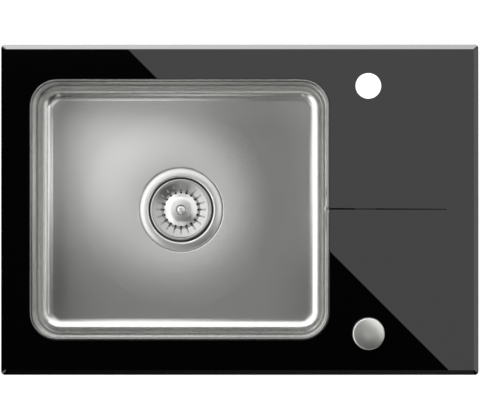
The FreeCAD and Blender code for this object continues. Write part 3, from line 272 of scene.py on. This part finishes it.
# %% Softboxes beside the sink
MIRROR_MARGIN = 0.02
SETBACK = 0.10  # from the mirrored column to a softbox
SOFTBOX_TOP = 1.2
TOWARDS_LEFT = Matrix.Rotation(math.pi, 3, "Z")
TOWARDS_BACK = Matrix.Rotation(math.pi / 2, 3, "Z")
half_length = (glass_high.x - glass_low.x) / 2
half_width = (glass_high.y - glass_low.y) / 2


def mirrored(size, height):
    """How far from the middle the glass mirrors a thing at that height."""
    return size * (1 + height / CAMERA_HEIGHT) + MIRROR_MARGIN


def leaning(name, near, far, side, glows):
    """Panel between two edges, each with a distance, a height and a half length.

    The glows are at the near and far corner of one end, then at the far and near of the other.
    """
    corners = []
    for (distance, height, reach), sign in ((near, -1), (far, -1), (far, 1), (near, 1)):
        corners.append(side @ Vector((distance, sign * reach, GLASS_TOP + height)))
    softbox(name, corners, glows)


left_top = (mirrored(half_length, SOFTBOX_TOP) + SETBACK, SOFTBOX_TOP, 1.0)
left_foot = (0.85, 0.48, 0.9)
leaning("left_softbox", left_top, left_foot, TOWARDS_LEFT, glows=(1.5, 3.2, 2.8, 1.2))
left_apron_top = (0.86, 0.40, 0.9)
left_apron_foot = (0.86, 0.22, 0.9)
leaning("left_apron", left_apron_top, left_apron_foot, TOWARDS_LEFT, glows=(2.4, 2.4, 2.4, 2.4))

back_top = (mirrored(half_width, SOFTBOX_TOP) + SETBACK, SOFTBOX_TOP, 1.0)
back_foot = (0.88, 0.68, 0.9)
leaning("back_softbox", back_top, back_foot, TOWARDS_BACK, glows=(1.1, 2.3, 3.4, 1.6))
back_apron_top = (0.90, 0.66, 0.9)
back_apron_foot = (0.90, 0.42, 0.9)
leaning("back_apron", back_apron_top, back_apron_foot, TOWARDS_BACK, glows=(2.8, 2.8, 3.2, 3.2))

flat_panel("front_softbox", x_range=(-0.12, -0.04), y_range=(-0.95, -0.50), height=0.8,
           glows=(3.2, 3.2, 2.4, 2.4))
flat_panel("right_softbox", x_range=(0.56, 1.36), y_range=(-0.13, 0.17), height=2.0,
           glows=(3.3, 3.3, 3.3, 3.3))

# %% [markdown]
# ## Lamps over the bowl and the knob
# The satin floor of the bowl shows a panel above it as a haze. Its shape follows the bright patch
# on the floor, and a dim fill lifts the front of the floor. Both hang over the cut-out, where there
# is no glass to mirror them. A small card over the knob gives its top a soft gradient.

# %% Lamps over the bowl and the knob
BOWL_LAMP_HEIGHT = 0.5
bowl_z = GLASS_TOP + BOWL_LAMP_HEIGHT
softbox("bowl_softbox",
        corners=[(-0.23, -0.045, bowl_z), (-0.03, -0.06, bowl_z), (-0.045, 0.095, bowl_z),
                 (-0.237, 0.145, bowl_z)],
        glows=(1.2, 1.08, 1.15, 2.45))
flat_panel("bowl_fill", x_range=(-0.27, 0.11), y_range=(-0.17, 0.0), height=BOWL_LAMP_HEIGHT,
           glows=(0.12, 0.46, 0.0, 0.0))
flat_panel("knob_card", x_range=(0.160, 0.190), y_range=(-0.186, -0.156), height=0.15,
           glows=(0.4, 0.3, 0.5, 0.8))

# %% [markdown]
# ## Strips for the bevel
# Seen from above, the polished bevel mirrors what lies outwards, about 50 degrees from upright, so
# each side of it needs a strip low beside the sink. The back edge is bright, the right and front
# edges are grey and the left edge is black, so each strip has its own glow and the left has none.
# The back one lies close to the glass, where it shows in little else.

# %% Strips for the bevel
flat_panel("back_strip", x_range=(-0.345, 0.345), y_range=(0.238, 0.256), height=0.02,
           glows=(15.0, 12.0, 12.0, 15.0))
flat_panel("front_strip", x_range=(-0.36, 0.36), y_range=(-0.56, -0.38), height=0.2,
           glows=(0.03, 0.28, 0.28, 0.03))
flat_panel("right_strip", x_range=(0.51, 0.63), y_range=(-0.35, 0.35), height=0.2,
           glows=(2.3, 2.3, 2.3, 2.3))

# %% [markdown]
# ## Sheen on the glass
# A grey sheen with a slanting edge lies over the right part of the glass. It is the mirror image of
# a pale panel, so three low panels hang inside the column of air, round the cut-out. They are drawn
# in plan on the glass and spread a little, because the view widens with the height.

# %% Sheen on the glass
SHEEN_HEIGHT = 0.2
SHEEN_EDGE = 66 * MM  # the lit part of the glass is where x + y is more than this
SHEEN_GLOW = 1.45
CUTOUT_RIGHT = 122.5 * MM
CUTOUT_BACK = 178 * MM
CUTOUT_CORNER = 38 * MM
sheen_x = half_length + MIRROR_MARGIN
sheen_y = half_width + MIRROR_MARGIN


def sheen_panel(name, plan):
    spread = 1 + SHEEN_HEIGHT / CAMERA_HEIGHT
    corners = [(x * spread, y * spread, GLASS_TOP + SHEEN_HEIGHT) for x, y in plan]
    softbox(name, corners, (SHEEN_GLOW,) * 4)


sheen_panel("sheen_back", [
    (SHEEN_EDGE - sheen_y, sheen_y),
    (SHEEN_EDGE - CUTOUT_BACK, CUTOUT_BACK),
    (CUTOUT_RIGHT, CUTOUT_BACK),
    (CUTOUT_RIGHT, sheen_y),
])
sheen_panel("sheen_corner", [
    (CUTOUT_RIGHT - CUTOUT_CORNER, CUTOUT_BACK),
    (CUTOUT_RIGHT - CUTOUT_CORNER / 2, CUTOUT_BACK - CUTOUT_CORNER / 2),
    (CUTOUT_RIGHT, CUTOUT_BACK - CUTOUT_CORNER),
    (CUTOUT_RIGHT, CUTOUT_BACK),
])
sheen_panel("sheen_right", [
    (CUTOUT_RIGHT, sheen_y),
    (CUTOUT_RIGHT, SHEEN_EDGE - CUTOUT_RIGHT),
    (sheen_x, SHEEN_EDGE - sheen_x),
    (sheen_x, sheen_y),
])

# %% [markdown]
# ## How a finish is put together
# A real surface is never one flat value. Each finish below makes a pattern between 0 and 1 from the
# way its surface was made, such as brush lines or the grain of a mould. `surface` then lets that
# pattern sway the roughness and raise a bump of a real depth. Patterns read Object coordinates in
# metres, so the scale of a pattern is one over a real size. Colours and roughness start from usual
# values for the material and are then set against the photograph.

# %% Surface from a pattern
PATTERN_LOW, PATTERN_HIGH = 0.25, 0.75  # noise hardly leaves this range


def surface(material, pattern, colour, roughness, sway, bump_depth, metallic=0.0):
    """Fill a material. The colour is a hex value or a socket, and the depth is in metres."""
    tree = material.node_tree
    rough = add(tree, "ShaderNodeMapRange",
                {"Value": pattern, "From Min": PATTERN_LOW, "From Max": PATTERN_HIGH,
                 "To Min": roughness - sway, "To Max": roughness + sway})
    bump = add(tree, "ShaderNodeBump",
               {"Height": pattern, "Strength": 1.0, "Distance": bump_depth})
    shader = add(tree, "ShaderNodeBsdfPrincipled",
                 {"Base Color": linear(colour) if isinstance(colour, str) else colour,
                  "Metallic": metallic, "Roughness": rough.outputs[0], "Normal": bump.outputs[0]})
    finish_material(tree, shader.outputs[0])
    print("finish", material.name)
    return material


# %% [markdown]
# ## Black glass
# The top is toughened float glass, 8 mm thick, with black paint fired onto its underside and a
# ground and polished bevel. The eye gets deep black under a clear mirror. A clear slab over a black
# sheet would be nearer to the real build, but light that enters it never comes back, so one black
# body with the gloss of glass looks the same and renders faster. Wiping leaves faint smears, which
# only change the roughness a little.

# %% Back-painted glass
SMEAR_MM = 60.0
black_glass, tree = new_material("back_painted_float_glass")
where = add(tree, "ShaderNodeTexCoord")
smears = add(tree, "ShaderNodeTexNoise",
             {"Vector": where.outputs["Object"], "Scale": 1 / (SMEAR_MM * MM), "Detail": 3.0})
surface(black_glass, smears.outputs["Fac"], "020202", roughness=0.012, sway=0.004, bump_depth=0.0)

# %% [markdown]
# ## Satin steel of the bowl
# The bowl is deep-drawn stainless sheet, a warm light grey, with a fine satin finish. Brushing leaves
# hair lines along the length of the bowl, so a highlight has soft edges and the floor shows light as
# a haze. Lines could be a bump texture alone, but they are finer than a pixel of the picture. Here
# they sway the roughness too, and they are drawn ten times as coarse as real ones, so that they show
# close up. The folded bead gets a darker colour, which is painted shade.

# %% Satin steel
BOWL_STEEL = "CFCFCD"
# The darker grey of the bead is painted shade.
BEAD_PAINTED_SHADE = "8C8C8A"
HAIR_LINE_MM = (80.0, 1.5, 1.5)  # height of the bead that gets the painted shade
BEAD_CREST = 4.0 * MM  # height of the bead that the brush leaves dull
satin_steel, tree = new_material("satin_stainless_steel")
where = add(tree, "ShaderNodeTexCoord")
drawn_out = add(tree, "ShaderNodeMapping",
                {"Vector": where.outputs["Object"],
                 "Scale": [1 / (size * MM) for size in HAIR_LINE_MM]})
hair_lines = add(tree, "ShaderNodeTexNoise",
                 {"Vector": drawn_out.outputs[0], "Scale": 1.0, "Detail": 2.0})
level = add(tree, "ShaderNodeSeparateXYZ", {0: where.outputs["Object"]})
bead_shade_share = add(tree, "ShaderNodeMapRange",
              {"Value": level.outputs["Z"], "From Min": GLASS_TOP - BEAD_CREST,
               "From Max": GLASS_TOP - BEAD_CREST / 2})
# Painted shade on the bead: the colour turns darker near the top of the bowl.
tone = add(tree, "ShaderNodeMix",
           {0: bead_shade_share.outputs[0], 6: linear(BOWL_STEEL), 7: linear(BEAD_PAINTED_SHADE)},
           data_type="RGBA")
surface(satin_steel, hair_lines.outputs["Fac"], tone.outputs[2], roughness=0.25, sway=0.004,
        bump_depth=0.05 * MICRON, metallic=1.0)

# %% [markdown]
# ## Pressed, drawn and turned steel
# The flange, the basket and the knob are round, and their lines run in rings round their own axis.
# A pattern of rings could come from a wave texture, but a real lathe or polishing wheel leaves
# rings of uneven strength. Noise in one dimension, read at the distance from the axis, gives that.
# In the photograph the cone of the basket is darker than its middle. Here the cone gets a darker
# colour, which is painted shade, and the same distance tells the two apart.

# %% Steel with rings
WASTE_STEEL = "D6D6D4"
# The darker grey of the cone is painted shade, fading in from 22 to 25 mm off the axis.
CONE_PAINTED_SHADE = "A4A4A2"
KNOB_STEEL = "CFCFCB"
UNSHADED_TO = 22 * MM
SHADED_FROM = 25 * MM


def ringed_steel(name, colour, centre, ring_mm, roughness, sway, bump_depth, shade_colour=None):
    """Steel with rings round an upright axis, which may get painted shade away from the axis."""
    material, tree = new_material(name)
    where = add(tree, "ShaderNodeTexCoord")
    centred = add(tree, "ShaderNodeMapping",
                  {"Vector": where.outputs["Object"], "Location": [-c for c in centre]})
    flat = add(tree, "ShaderNodeVectorMath", {0: centred.outputs[0], 1: (1.0, 1.0, 0.0)},
               operation="MULTIPLY")
    reach = add(tree, "ShaderNodeVectorMath", {0: flat.outputs[0]}, operation="LENGTH")
    rings = add(tree, "ShaderNodeTexNoise",
                {"W": reach.outputs["Value"], "Scale": 1 / (ring_mm * MM), "Detail": 2.0},
                noise_dimensions="1D")
    if shade_colour:
        # Painted shade: away from the axis the colour turns darker.
        outside = add(tree, "ShaderNodeMapRange",
                      {"Value": reach.outputs["Value"], "From Min": UNSHADED_TO, "From Max": SHADED_FROM})
        tone = add(tree, "ShaderNodeMix",
                   {0: outside.outputs[0], 6: linear(colour), 7: linear(shade_colour)},
                   data_type="RGBA")
        colour = tone.outputs[2]
    return surface(material, rings.outputs["Fac"], colour, roughness, sway, bump_depth, metallic=1.0)


def middle(node):
    low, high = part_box(node)
    return (low + high) / 2


drain_axis = middle("waste_cup")
knob_axis = middle("knob")
# Pressed steel: lightly rubbed, with a broader highlight than the bowl and rings too fine to count.
rubbed = {"ring_mm": 0.8, "roughness": 0.32, "sway": 0.008, "bump_depth": 0.1 * MICRON}
pressed_steel = ringed_steel("pressed_stainless_steel", WASTE_STEEL, drain_axis, **rubbed)
# Drawn steel: as bright in the middle, with painted shade on the cone round it.
basket_steel_painted_shade = ringed_steel("deep_drawn_steel_painted_shade", WASTE_STEEL, drain_axis, **rubbed,
                            shade_colour=CONE_PAINTED_SHADE)
# Turned steel: it keeps the feed marks of the lathe, drawn three times as coarse as real ones.
turned_steel = ringed_steel("turned_stainless_steel", KNOB_STEEL, knob_axis, ring_mm=1.2, roughness=0.32,
                            sway=0.01, bump_depth=0.2 * MICRON)
print("drain axis", drain_axis, "knob axis", knob_axis)

# %% [markdown]
# ## Plated steel and brass
# Clips, studs and the linkage are zinc plated, which looks like dull steel with cloudy patches. The
# bush under the knob is plain brass that has begun to darken. Both are metals with a blotchy
# colour, so one recipe serves both: slow noise mixes two shades, and the same noise sways the
# roughness.

# %% Blotchy metals
BLOTCH_DEPTH = 2 * MICRON


def blotchy_metal(name, light, dark, blotch_mm, roughness, sway):
    material, tree = new_material(name)
    where = add(tree, "ShaderNodeTexCoord")
    blotches = add(tree, "ShaderNodeTexNoise",
                   {"Vector": where.outputs["Object"], "Scale": 1 / (blotch_mm * MM), "Detail": 5.0})
    shade = add(tree, "ShaderNodeMix",
                {0: blotches.outputs["Fac"], 6: linear(light), 7: linear(dark)},
                data_type="RGBA")
    return surface(material, blotches.outputs["Fac"], shade.outputs[2], roughness, sway, BLOTCH_DEPTH,
                   metallic=1.0)


# Zinc: a cool grey with a faint bluish cast.
zinc = blotchy_metal("zinc_plated_steel", "CDD1D5", "A9AEB4", blotch_mm=4.0, roughness=0.36, sway=0.08)
# Brass: yellow with browner patches where it has been handled.
brass = blotchy_metal("machined_brass", "DDBB70", "B48E4C", blotch_mm=6.0, roughness=0.30, sway=0.07)

# %% [markdown]
# ## Moulded plastics, rubber and foam
# The waste, the overflow and the nuts are injection moulded. Their moulds are spark eroded, which
# leaves a fine even grain and a dull sheen. Rubber and silicone carry a coarser, softer grain, and
# the foam tape shows its cells. Each is a grain of its own size, with two shades close together so
# that the colour is not dead.

# %% Grained materials
def grained(name, light, dark, grain_mm, grain_microns, roughness, sway, cells=False):
    material, tree = new_material(name)
    where = add(tree, "ShaderNodeTexCoord")
    scale = {"Vector": where.outputs["Object"], "Scale": 1 / (grain_mm * MM)}
    if cells:
        grain = add(tree, "ShaderNodeTexVoronoi", scale).outputs["Distance"]
    else:
        grain = add(tree, "ShaderNodeTexNoise", {**scale, "Detail": 4.0}).outputs["Fac"]
    shade = add(tree, "ShaderNodeMix", {0: grain, 6: linear(light), 7: linear(dark)}, data_type="RGBA")
    return surface(material, grain, shade.outputs[2], roughness, sway, grain_microns * MICRON)


# After the name: light and dark shade, grain in mm, its depth in microns, roughness and its sway.
grained_finishes = {
    # White and grey polypropylene: waxy and slightly uneven, with a soft broad highlight.
    "white_plastic": grained("white_polypropylene", "EDECE8", "DAD9D3", 1.2, 12, 0.42, 0.06),
    "grey_plastic": grained("grey_polypropylene", "8F9295", "7C7F82", 1.2, 12, 0.44, 0.06),
    # Black nylon: a harder gloss than polypropylene.
    "black_plastic": grained("black_nylon", "242427", "161618", 1.0, 10, 0.38, 0.06),
    # Moulded rubber: dull and slightly dusty.
    "black_rubber": grained("black_nitrile_rubber", "1F1F1F", "121212", 1.8, 20, 0.72, 0.08),
    # Silicone in the joint: smoother than rubber, with a wet look.
    "silicone": grained("black_silicone_sealant", "161616", "0C0C0C", 4.0, 30, 0.35, 0.08),
    # Closed-cell foam: matt, with open cells where it was cut.
    "foam": grained("closed_cell_foam", "2C2C2E", "161618", 1.1, 120, 0.90, 0.05, cells=True),
    # PVC sheath of the cable: soft gloss.
    "cable_sheath": grained("pvc_sheath", "29292B", "1A1A1C", 1.5, 15, 0.42, 0.06),
}

# %% [markdown]
# ## Finishes on the solids
# Each CAD solid comes with a plain material that is named for its slot in the record. A solid's
# material could be chosen by the solid's name, but the slot already says what it is made of, so the
# finish is looked up by the slot. Only the basket has a steel of its own, with painted shade on its
# cone.

# %% Finishes on the solids
finishes = {
    "black_glass": black_glass,
    "bowl_steel": satin_steel,
    "bright_steel": pressed_steel,
    "knob_steel": turned_steel,
    "zinc_steel": zinc,
    "brass": brass,
    **grained_finishes,
}
for node in frame["nodes"].values():
    slot = node.material_slots[0]
    slot.material = finishes[slot.material.name]
# The basket takes the steel with painted shade on its cone.
frame["nodes"]["basket"].material_slots[0].material = basket_steel_painted_shade
print("finished nodes", len(frame["nodes"]))

# %% [markdown]
# ## A workshop for shapes that follow a rule
# Studs, nut ribs and flutes repeat, so Geometry Nodes make them. `shape_tree` starts a tree with
# named sizes, and `finish_shape` ends it. `made` puts it on a mesh as a modifier, sets the sizes, and
# keeps the result as a plain mesh.

# %% Geometry Nodes workshop
def shape_tree(name, sizes):
    tree = bpy.data.node_groups.new(name, "GeometryNodeTree")
    tree.interface.new_socket("Points", in_out="INPUT", socket_type="NodeSocketGeometry")
    for label, value in sizes.items():
        kind = "NodeSocketInt" if isinstance(value, int) else "NodeSocketFloat"
        tree.interface.new_socket(label, in_out="INPUT", socket_type=kind).default_value = value
    tree.interface.new_socket("Material", in_out="INPUT", socket_type="NodeSocketMaterial")
    tree.interface.new_socket("Shape", in_out="OUTPUT", socket_type="NodeSocketGeometry")
    return tree, add(tree, "NodeGroupInput").outputs


def finish_shape(tree, shape, material):
    whole = add(tree, "GeometryNodeRealizeInstances", {"Geometry": shape})
    coated = add(tree, "GeometryNodeSetMaterial", {"Geometry": whole.outputs[0], "Material": material})
    add(tree, "NodeGroupOutput", {0: coated.outputs[0]})


def made(name, tree, points, values):
    """Plain mesh that a tree makes from a list of points and a value for each named input."""
    mesh = bpy.data.meshes.new(name)
    mesh.from_pydata(points, [], [])
    holder = bpy.data.objects.new(name + "_points", mesh)
    bpy.context.collection.objects.link(holder)
    modifier = holder.modifiers.new(name, "NODES")
    modifier.node_group = tree
    for item in tree.interface.items_tree:
        if item.in_out == "INPUT" and item.name in values:
            modifier[item.identifier] = values[item.name]
    seen = holder.evaluated_get(bpy.context.evaluated_depsgraph_get())
    result = bpy.data.meshes.new_from_object(seen)
    bpy.data.objects.remove(holder)
    print(name, "faces", len(result.polygons))
    return result


# %% [markdown]
# ## Threaded studs
# Six steel plates are bonded under the glass, and each carries an M6 stud for a clip. The CAD model
# has plain rods. A thread could be a ridge wound round a rod, but a real thread is rolled into the
# rod and is no thicker than it. So the rod is a fine cylinder, and each of its points moves in by a
# triangle wave that rises with the height and with the turn.

# %% Plates of the studs
STUD_RADIUS = 3.0 * MM
THREAD_PITCH = 1.0 * MM
THREAD_DEPTH = 0.55 * MM
ROWS_PER_TURN = 4
SAME_POINT = 0.01 * MM  # points nearer than this are joined
stud_low, stud_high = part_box("stud_plates")
stud_length = stud_high.z - stud_low.z

tree, sizes = shape_tree("threaded_stud", {
    "Plate Length": 26 * MM, "Plate Width": 15 * MM, "Plate Thickness": 2 * MM, "Plate Corner": 2.5 * MM,
    "Stud Radius": STUD_RADIUS, "Stud Length": stud_length, "Pitch": THREAD_PITCH, "Depth": THREAD_DEPTH,
    "Rows": round(stud_length / THREAD_PITCH) * ROWS_PER_TURN, "Sides": 24,
})
edge = add(tree, "GeometryNodeCurvePrimitiveQuadrilateral",
           {"Width": sizes["Plate Length"], "Height": sizes["Plate Width"]})
edge = add(tree, "GeometryNodeFilletCurve",
           {"Curve": edge.outputs[0], "Radius": sizes["Plate Corner"], "Count": 5}, mode="POLY")
face = add(tree, "GeometryNodeFillCurve", {"Curve": edge.outputs[0]}, mode="NGONS")
under = add(tree, "GeometryNodeFlipFaces", {"Mesh": face.outputs[0]})
under = add(tree, "GeometryNodeExtrudeMesh",
            {"Mesh": under.outputs[0], "Offset": (0.0, 0.0, -1.0),
             "Offset Scale": sizes["Plate Thickness"], "Individual": False})
plate = add(tree, "GeometryNodeJoinGeometry")
tree.links.new(under.outputs["Mesh"], plate.inputs[0])
tree.links.new(face.outputs[0], plate.inputs[0])
plate = add(tree, "GeometryNodeMergeByDistance", {"Geometry": plate.outputs[0], "Distance": SAME_POINT})
print("stud length", round(stud_length, 4))

# %% Threaded studs
rod = add(tree, "GeometryNodeMeshCylinder",
          {"Vertices": sizes["Sides"], "Side Segments": sizes["Rows"], "Radius": sizes["Stud Radius"],
           "Depth": sizes["Stud Length"]})
place = add(tree, "GeometryNodeInputPosition")
axes = add(tree, "ShaderNodeSeparateXYZ", {0: place.outputs[0]}).outputs
angle = add(tree, "ShaderNodeMath", {0: axes["Y"], 1: axes["X"]}, operation="ARCTAN2")
turn = add(tree, "ShaderNodeMath", {0: angle.outputs[0], 1: 2 * math.pi}, operation="DIVIDE")
climb = add(tree, "ShaderNodeMath", {0: axes["Z"], 1: sizes["Pitch"]}, operation="DIVIDE")
phase = add(tree, "ShaderNodeMath", {0: climb.outputs[0], 1: turn.outputs[0]}, operation="SUBTRACT")
# The wave swings between 0 and a half, so it is doubled to reach the full depth.
wave = add(tree, "ShaderNodeMath", {0: phase.outputs[0], 1: 0.5}, operation="PINGPONG")
sink_in = add(tree, "ShaderNodeMath", {0: sizes["Depth"], 1: sizes["Stud Radius"]}, operation="DIVIDE")
sink_in = add(tree, "ShaderNodeMath", {0: sink_in.outputs[0], 1: -2.0}, operation="MULTIPLY")
shrink = add(tree, "ShaderNodeMath", {0: wave.outputs[0], 1: sink_in.outputs[0], 2: 1.0},
             operation="MULTIPLY_ADD")
shaped = add(tree, "ShaderNodeCombineXYZ", {"X": shrink.outputs[0], "Y": shrink.outputs[0], "Z": 1.0})
moved_in = add(tree, "ShaderNodeVectorMath", {0: place.outputs[0], 1: shaped.outputs[0]},
               operation="MULTIPLY")
rod = add(tree, "GeometryNodeSetPosition",
          {"Geometry": rod.outputs["Mesh"], "Position": moved_in.outputs[0]})
half_down = add(tree, "ShaderNodeMath", {0: sizes["Stud Length"], 1: -0.5}, operation="MULTIPLY")
hang = add(tree, "ShaderNodeCombineXYZ", {"Z": half_down.outputs[0]})
rod = add(tree, "GeometryNodeTransform", {"Geometry": rod.outputs[0], "Translation": hang.outputs[0]})

stud = add(tree, "GeometryNodeJoinGeometry")
tree.links.new(plate.outputs[0], stud.inputs[0])
tree.links.new(rod.outputs[0], stud.inputs[0])
studs = add(tree, "GeometryNodeInstanceOnPoints",
            {"Points": sizes["Points"], "Instance": stud.outputs[0]})
finish_shape(tree, studs.outputs[0], sizes["Material"])

joints = frame["record"]["behaviour"]["joints"]
clip_places = [joint["pos_m"] for joint in joints if joint["name"].startswith("clip_")]
stud_spots = [(x, y, stud_high.z) for x, y, _ in clip_places]
stud_mesh = made("threaded_studs", tree, stud_spots, {"Material": zinc})
threaded_studs = bpy.data.objects.new("threaded_studs", stud_mesh)
bpy.context.collection.objects.link(threaded_studs)
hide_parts("stud_plates")
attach(threaded_studs, "sink")
print("studs", len(stud_spots))

# %% [markdown]
# ## Grip ribs on the union nuts
# The plastic nuts of the outlet and the overflow are tightened by hand, so real ones have upright
# ribs to hold on to. The CAD nuts have twelve plain sides. A rib is a short line given a round
# section that narrows at both ends, and one tree sets a ring of them round a nut. The same tree
# serves all three nuts with other sizes.

# %% A ring of ribs
RIB_RADIUS = 1.4 * MM
RIB_NARROWING = 0.7  # share of the radius that is gone at the ends of a rib
RIB_END_POWER = 6.0  # a higher power keeps more of a rib at its full radius

tree, sizes = shape_tree("nut_ribs", {
    "Ribs": 12, "Ring Radius": 20 * MM, "Rib Radius": RIB_RADIUS, "Rib Length": 12 * MM,
})
half_up = add(tree, "ShaderNodeMath", {0: sizes["Rib Length"], 1: 0.5}, operation="MULTIPLY")
half_low = add(tree, "ShaderNodeMath", {0: sizes["Rib Length"], 1: -0.5}, operation="MULTIPLY")
rib_top = add(tree, "ShaderNodeCombineXYZ", {"Z": half_up.outputs[0]})
rib_foot = add(tree, "ShaderNodeCombineXYZ", {"Z": half_low.outputs[0]})
line = add(tree, "GeometryNodeCurvePrimitiveLine",
           {"Start": rib_foot.outputs[0], "End": rib_top.outputs[0]})
line = add(tree, "GeometryNodeResampleCurve", {"Curve": line.outputs[0], "Count": 9})
along = add(tree, "GeometryNodeSplineParameter")
from_middle = add(tree, "ShaderNodeMath", {0: along.outputs["Factor"], 1: 2.0, 2: -1.0},
                  operation="MULTIPLY_ADD")
bulge = add(tree, "ShaderNodeMath", {0: from_middle.outputs[0], 1: RIB_END_POWER}, operation="POWER")
bulge = add(tree, "ShaderNodeMath", {0: bulge.outputs[0], 1: -RIB_NARROWING, 2: 1.0},
            operation="MULTIPLY_ADD")
line = add(tree, "GeometryNodeSetCurveRadius", {"Curve": line.outputs[0], "Radius": bulge.outputs[0]})
round_section = add(tree, "GeometryNodeCurvePrimitiveCircle",
                    {"Resolution": 10, "Radius": sizes["Rib Radius"]})
rib = add(tree, "GeometryNodeCurveToMesh",
          {"Curve": line.outputs[0], "Profile Curve": round_section.outputs[0], "Fill Caps": True})
ring = add(tree, "GeometryNodeMeshCircle", {"Vertices": sizes["Ribs"], "Radius": sizes["Ring Radius"]})
ribs = add(tree, "GeometryNodeInstanceOnPoints", {"Points": ring.outputs[0], "Instance": rib.outputs[0]})
finish_shape(tree, ribs.outputs[0], sizes["Material"])

# %% Ribs on the three nuts
RIB_END_GAP = 2.0 * MM
SMALL_NUT_HEIGHT = 17.0 * MM
outlet_low, outlet_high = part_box("outlet_nut")
small_low, small_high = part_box("overflow_nuts")
small_reach = (small_high.y - small_low.y) / 2
upper_centre = Vector((small_high.x - small_reach, 0, small_high.z - SMALL_NUT_HEIGHT / 2))
lower_centre = Vector((small_low.x + SMALL_NUT_HEIGHT / 2, 0, small_low.z + small_reach))
upright = Matrix()
lying = Matrix.Rotation(math.pi / 2, 4, "Y")
nuts = [
    # name, height, corner radius, centre, stance
    ("outlet_nut_ribs", outlet_high.z - outlet_low.z, (outlet_high.x - outlet_low.x) / 2,
     middle("outlet_nut"), upright),
    ("overflow_upper_nut_ribs", SMALL_NUT_HEIGHT, small_reach, upper_centre, upright),
    ("overflow_lower_nut_ribs", SMALL_NUT_HEIGHT, small_reach, lower_centre, lying),
]
for name, height, reach, centre, stance in nuts:
    rib_mesh = made(name, tree, [(0, 0, 0)], {
        "Ring Radius": reach - RIB_RADIUS / 2,
        "Rib Length": height - 2 * RIB_END_GAP,
        "Material": finishes["grey_plastic"],
    })
    rib_mesh.transform(Matrix.Translation(centre) @ stance)
    piece = bpy.data.objects.new(name, rib_mesh)
    bpy.context.collection.objects.link(piece)
    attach(piece, "sink")

# %% [markdown]
# ## Flutes of the basket
# The strainer is pressed from thin sheet, and short flutes between the slots and the rim stiffen it.
# The CAD basket has a plain cone there. A flute is a long shallow swelling, so half an ellipsoid is
# enough, and the lower half sinks into the sheet. One ray down onto the cone finds its height and its
# slope. The tree copies the point on the drain axis once for each flute and turns each copy.

# %% Basket flutes
FLUTE_COUNT = 20
FLUTE_REACH = 31.5 * MM  # from the drain axis to the middle of a flute
FLUTE_LENGTH = 7.5 * MM
FLUTE_WIDTH = 2.4 * MM
FLUTE_HEIGHT = 0.75 * MM  # stays within the thickness of the sheet

basket = frame["nodes"]["basket"]
basket_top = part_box("basket")[1].z
half_step = math.pi / FLUTE_COUNT
probe = drain_axis + FLUTE_REACH * Vector((math.cos(half_step), math.sin(half_step), 0))
probe.z = basket_top + FLUTE_HEIGHT
_, cone_point, cone_normal, _ = basket.ray_cast(probe, (0, 0, -1))
cone_slope = math.acos(cone_normal.z)

tree, sizes = shape_tree("basket_flutes", {
    "Count": FLUTE_COUNT, "Reach": FLUTE_REACH, "Length": FLUTE_LENGTH, "Width": FLUTE_WIDTH,
    "Height": FLUTE_HEIGHT, "Slope": cone_slope,
})
swelling = add(tree, "GeometryNodeMeshUVSphere", {"Segments": 24, "Rings": 12, "Radius": 1.0})
half_long = add(tree, "ShaderNodeMath", {0: sizes["Length"], 1: 0.5}, operation="MULTIPLY")
half_wide = add(tree, "ShaderNodeMath", {0: sizes["Width"], 1: 0.5}, operation="MULTIPLY")
stretch = add(tree, "ShaderNodeCombineXYZ",
              {"X": half_long.outputs[0], "Y": half_wide.outputs[0], "Z": sizes["Height"]})
lean = add(tree, "ShaderNodeMath", {0: sizes["Slope"], 1: -1.0}, operation="MULTIPLY")
lean = add(tree, "ShaderNodeCombineXYZ", {"Y": lean.outputs[0]})
out = add(tree, "ShaderNodeCombineXYZ", {"X": sizes["Reach"]})
flute = add(tree, "GeometryNodeTransform",
            {"Geometry": swelling.outputs["Mesh"], "Translation": out.outputs[0],
             "Rotation": lean.outputs[0], "Scale": stretch.outputs[0]})
flute = add(tree, "GeometryNodeSetShadeSmooth", {"Geometry": flute.outputs[0]})
copies = add(tree, "GeometryNodeDuplicateElements",
             {"Geometry": sizes["Points"], "Amount": sizes["Count"]}, domain="POINT")
step = add(tree, "ShaderNodeMath", {0: 2 * math.pi, 1: sizes["Count"]}, operation="DIVIDE")
turn = add(tree, "ShaderNodeMath", {0: copies.outputs["Duplicate Index"], 1: step.outputs[0]},
           operation="MULTIPLY")
turn = add(tree, "ShaderNodeCombineXYZ", {"Z": turn.outputs[0]})
flutes = add(tree, "GeometryNodeInstanceOnPoints",
             {"Points": copies.outputs["Geometry"], "Instance": flute.outputs[0],
              "Rotation": turn.outputs[0]})
finish_shape(tree, flutes.outputs[0], sizes["Material"])

on_cone = (drain_axis.x, drain_axis.y, cone_point.z)
# The flutes lie on the cone, so they take its painted shade too.
flute_mesh = made("basket_flutes", tree, [on_cone], {"Material": basket_steel_painted_shade})
basket_flutes = bpy.data.objects.new("basket_flutes", flute_mesh)
bpy.context.collection.objects.link(basket_flutes)
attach(basket_flutes, "basket")
print("flutes", FLUTE_COUNT, "slope", round(math.degrees(cone_slope), 1))
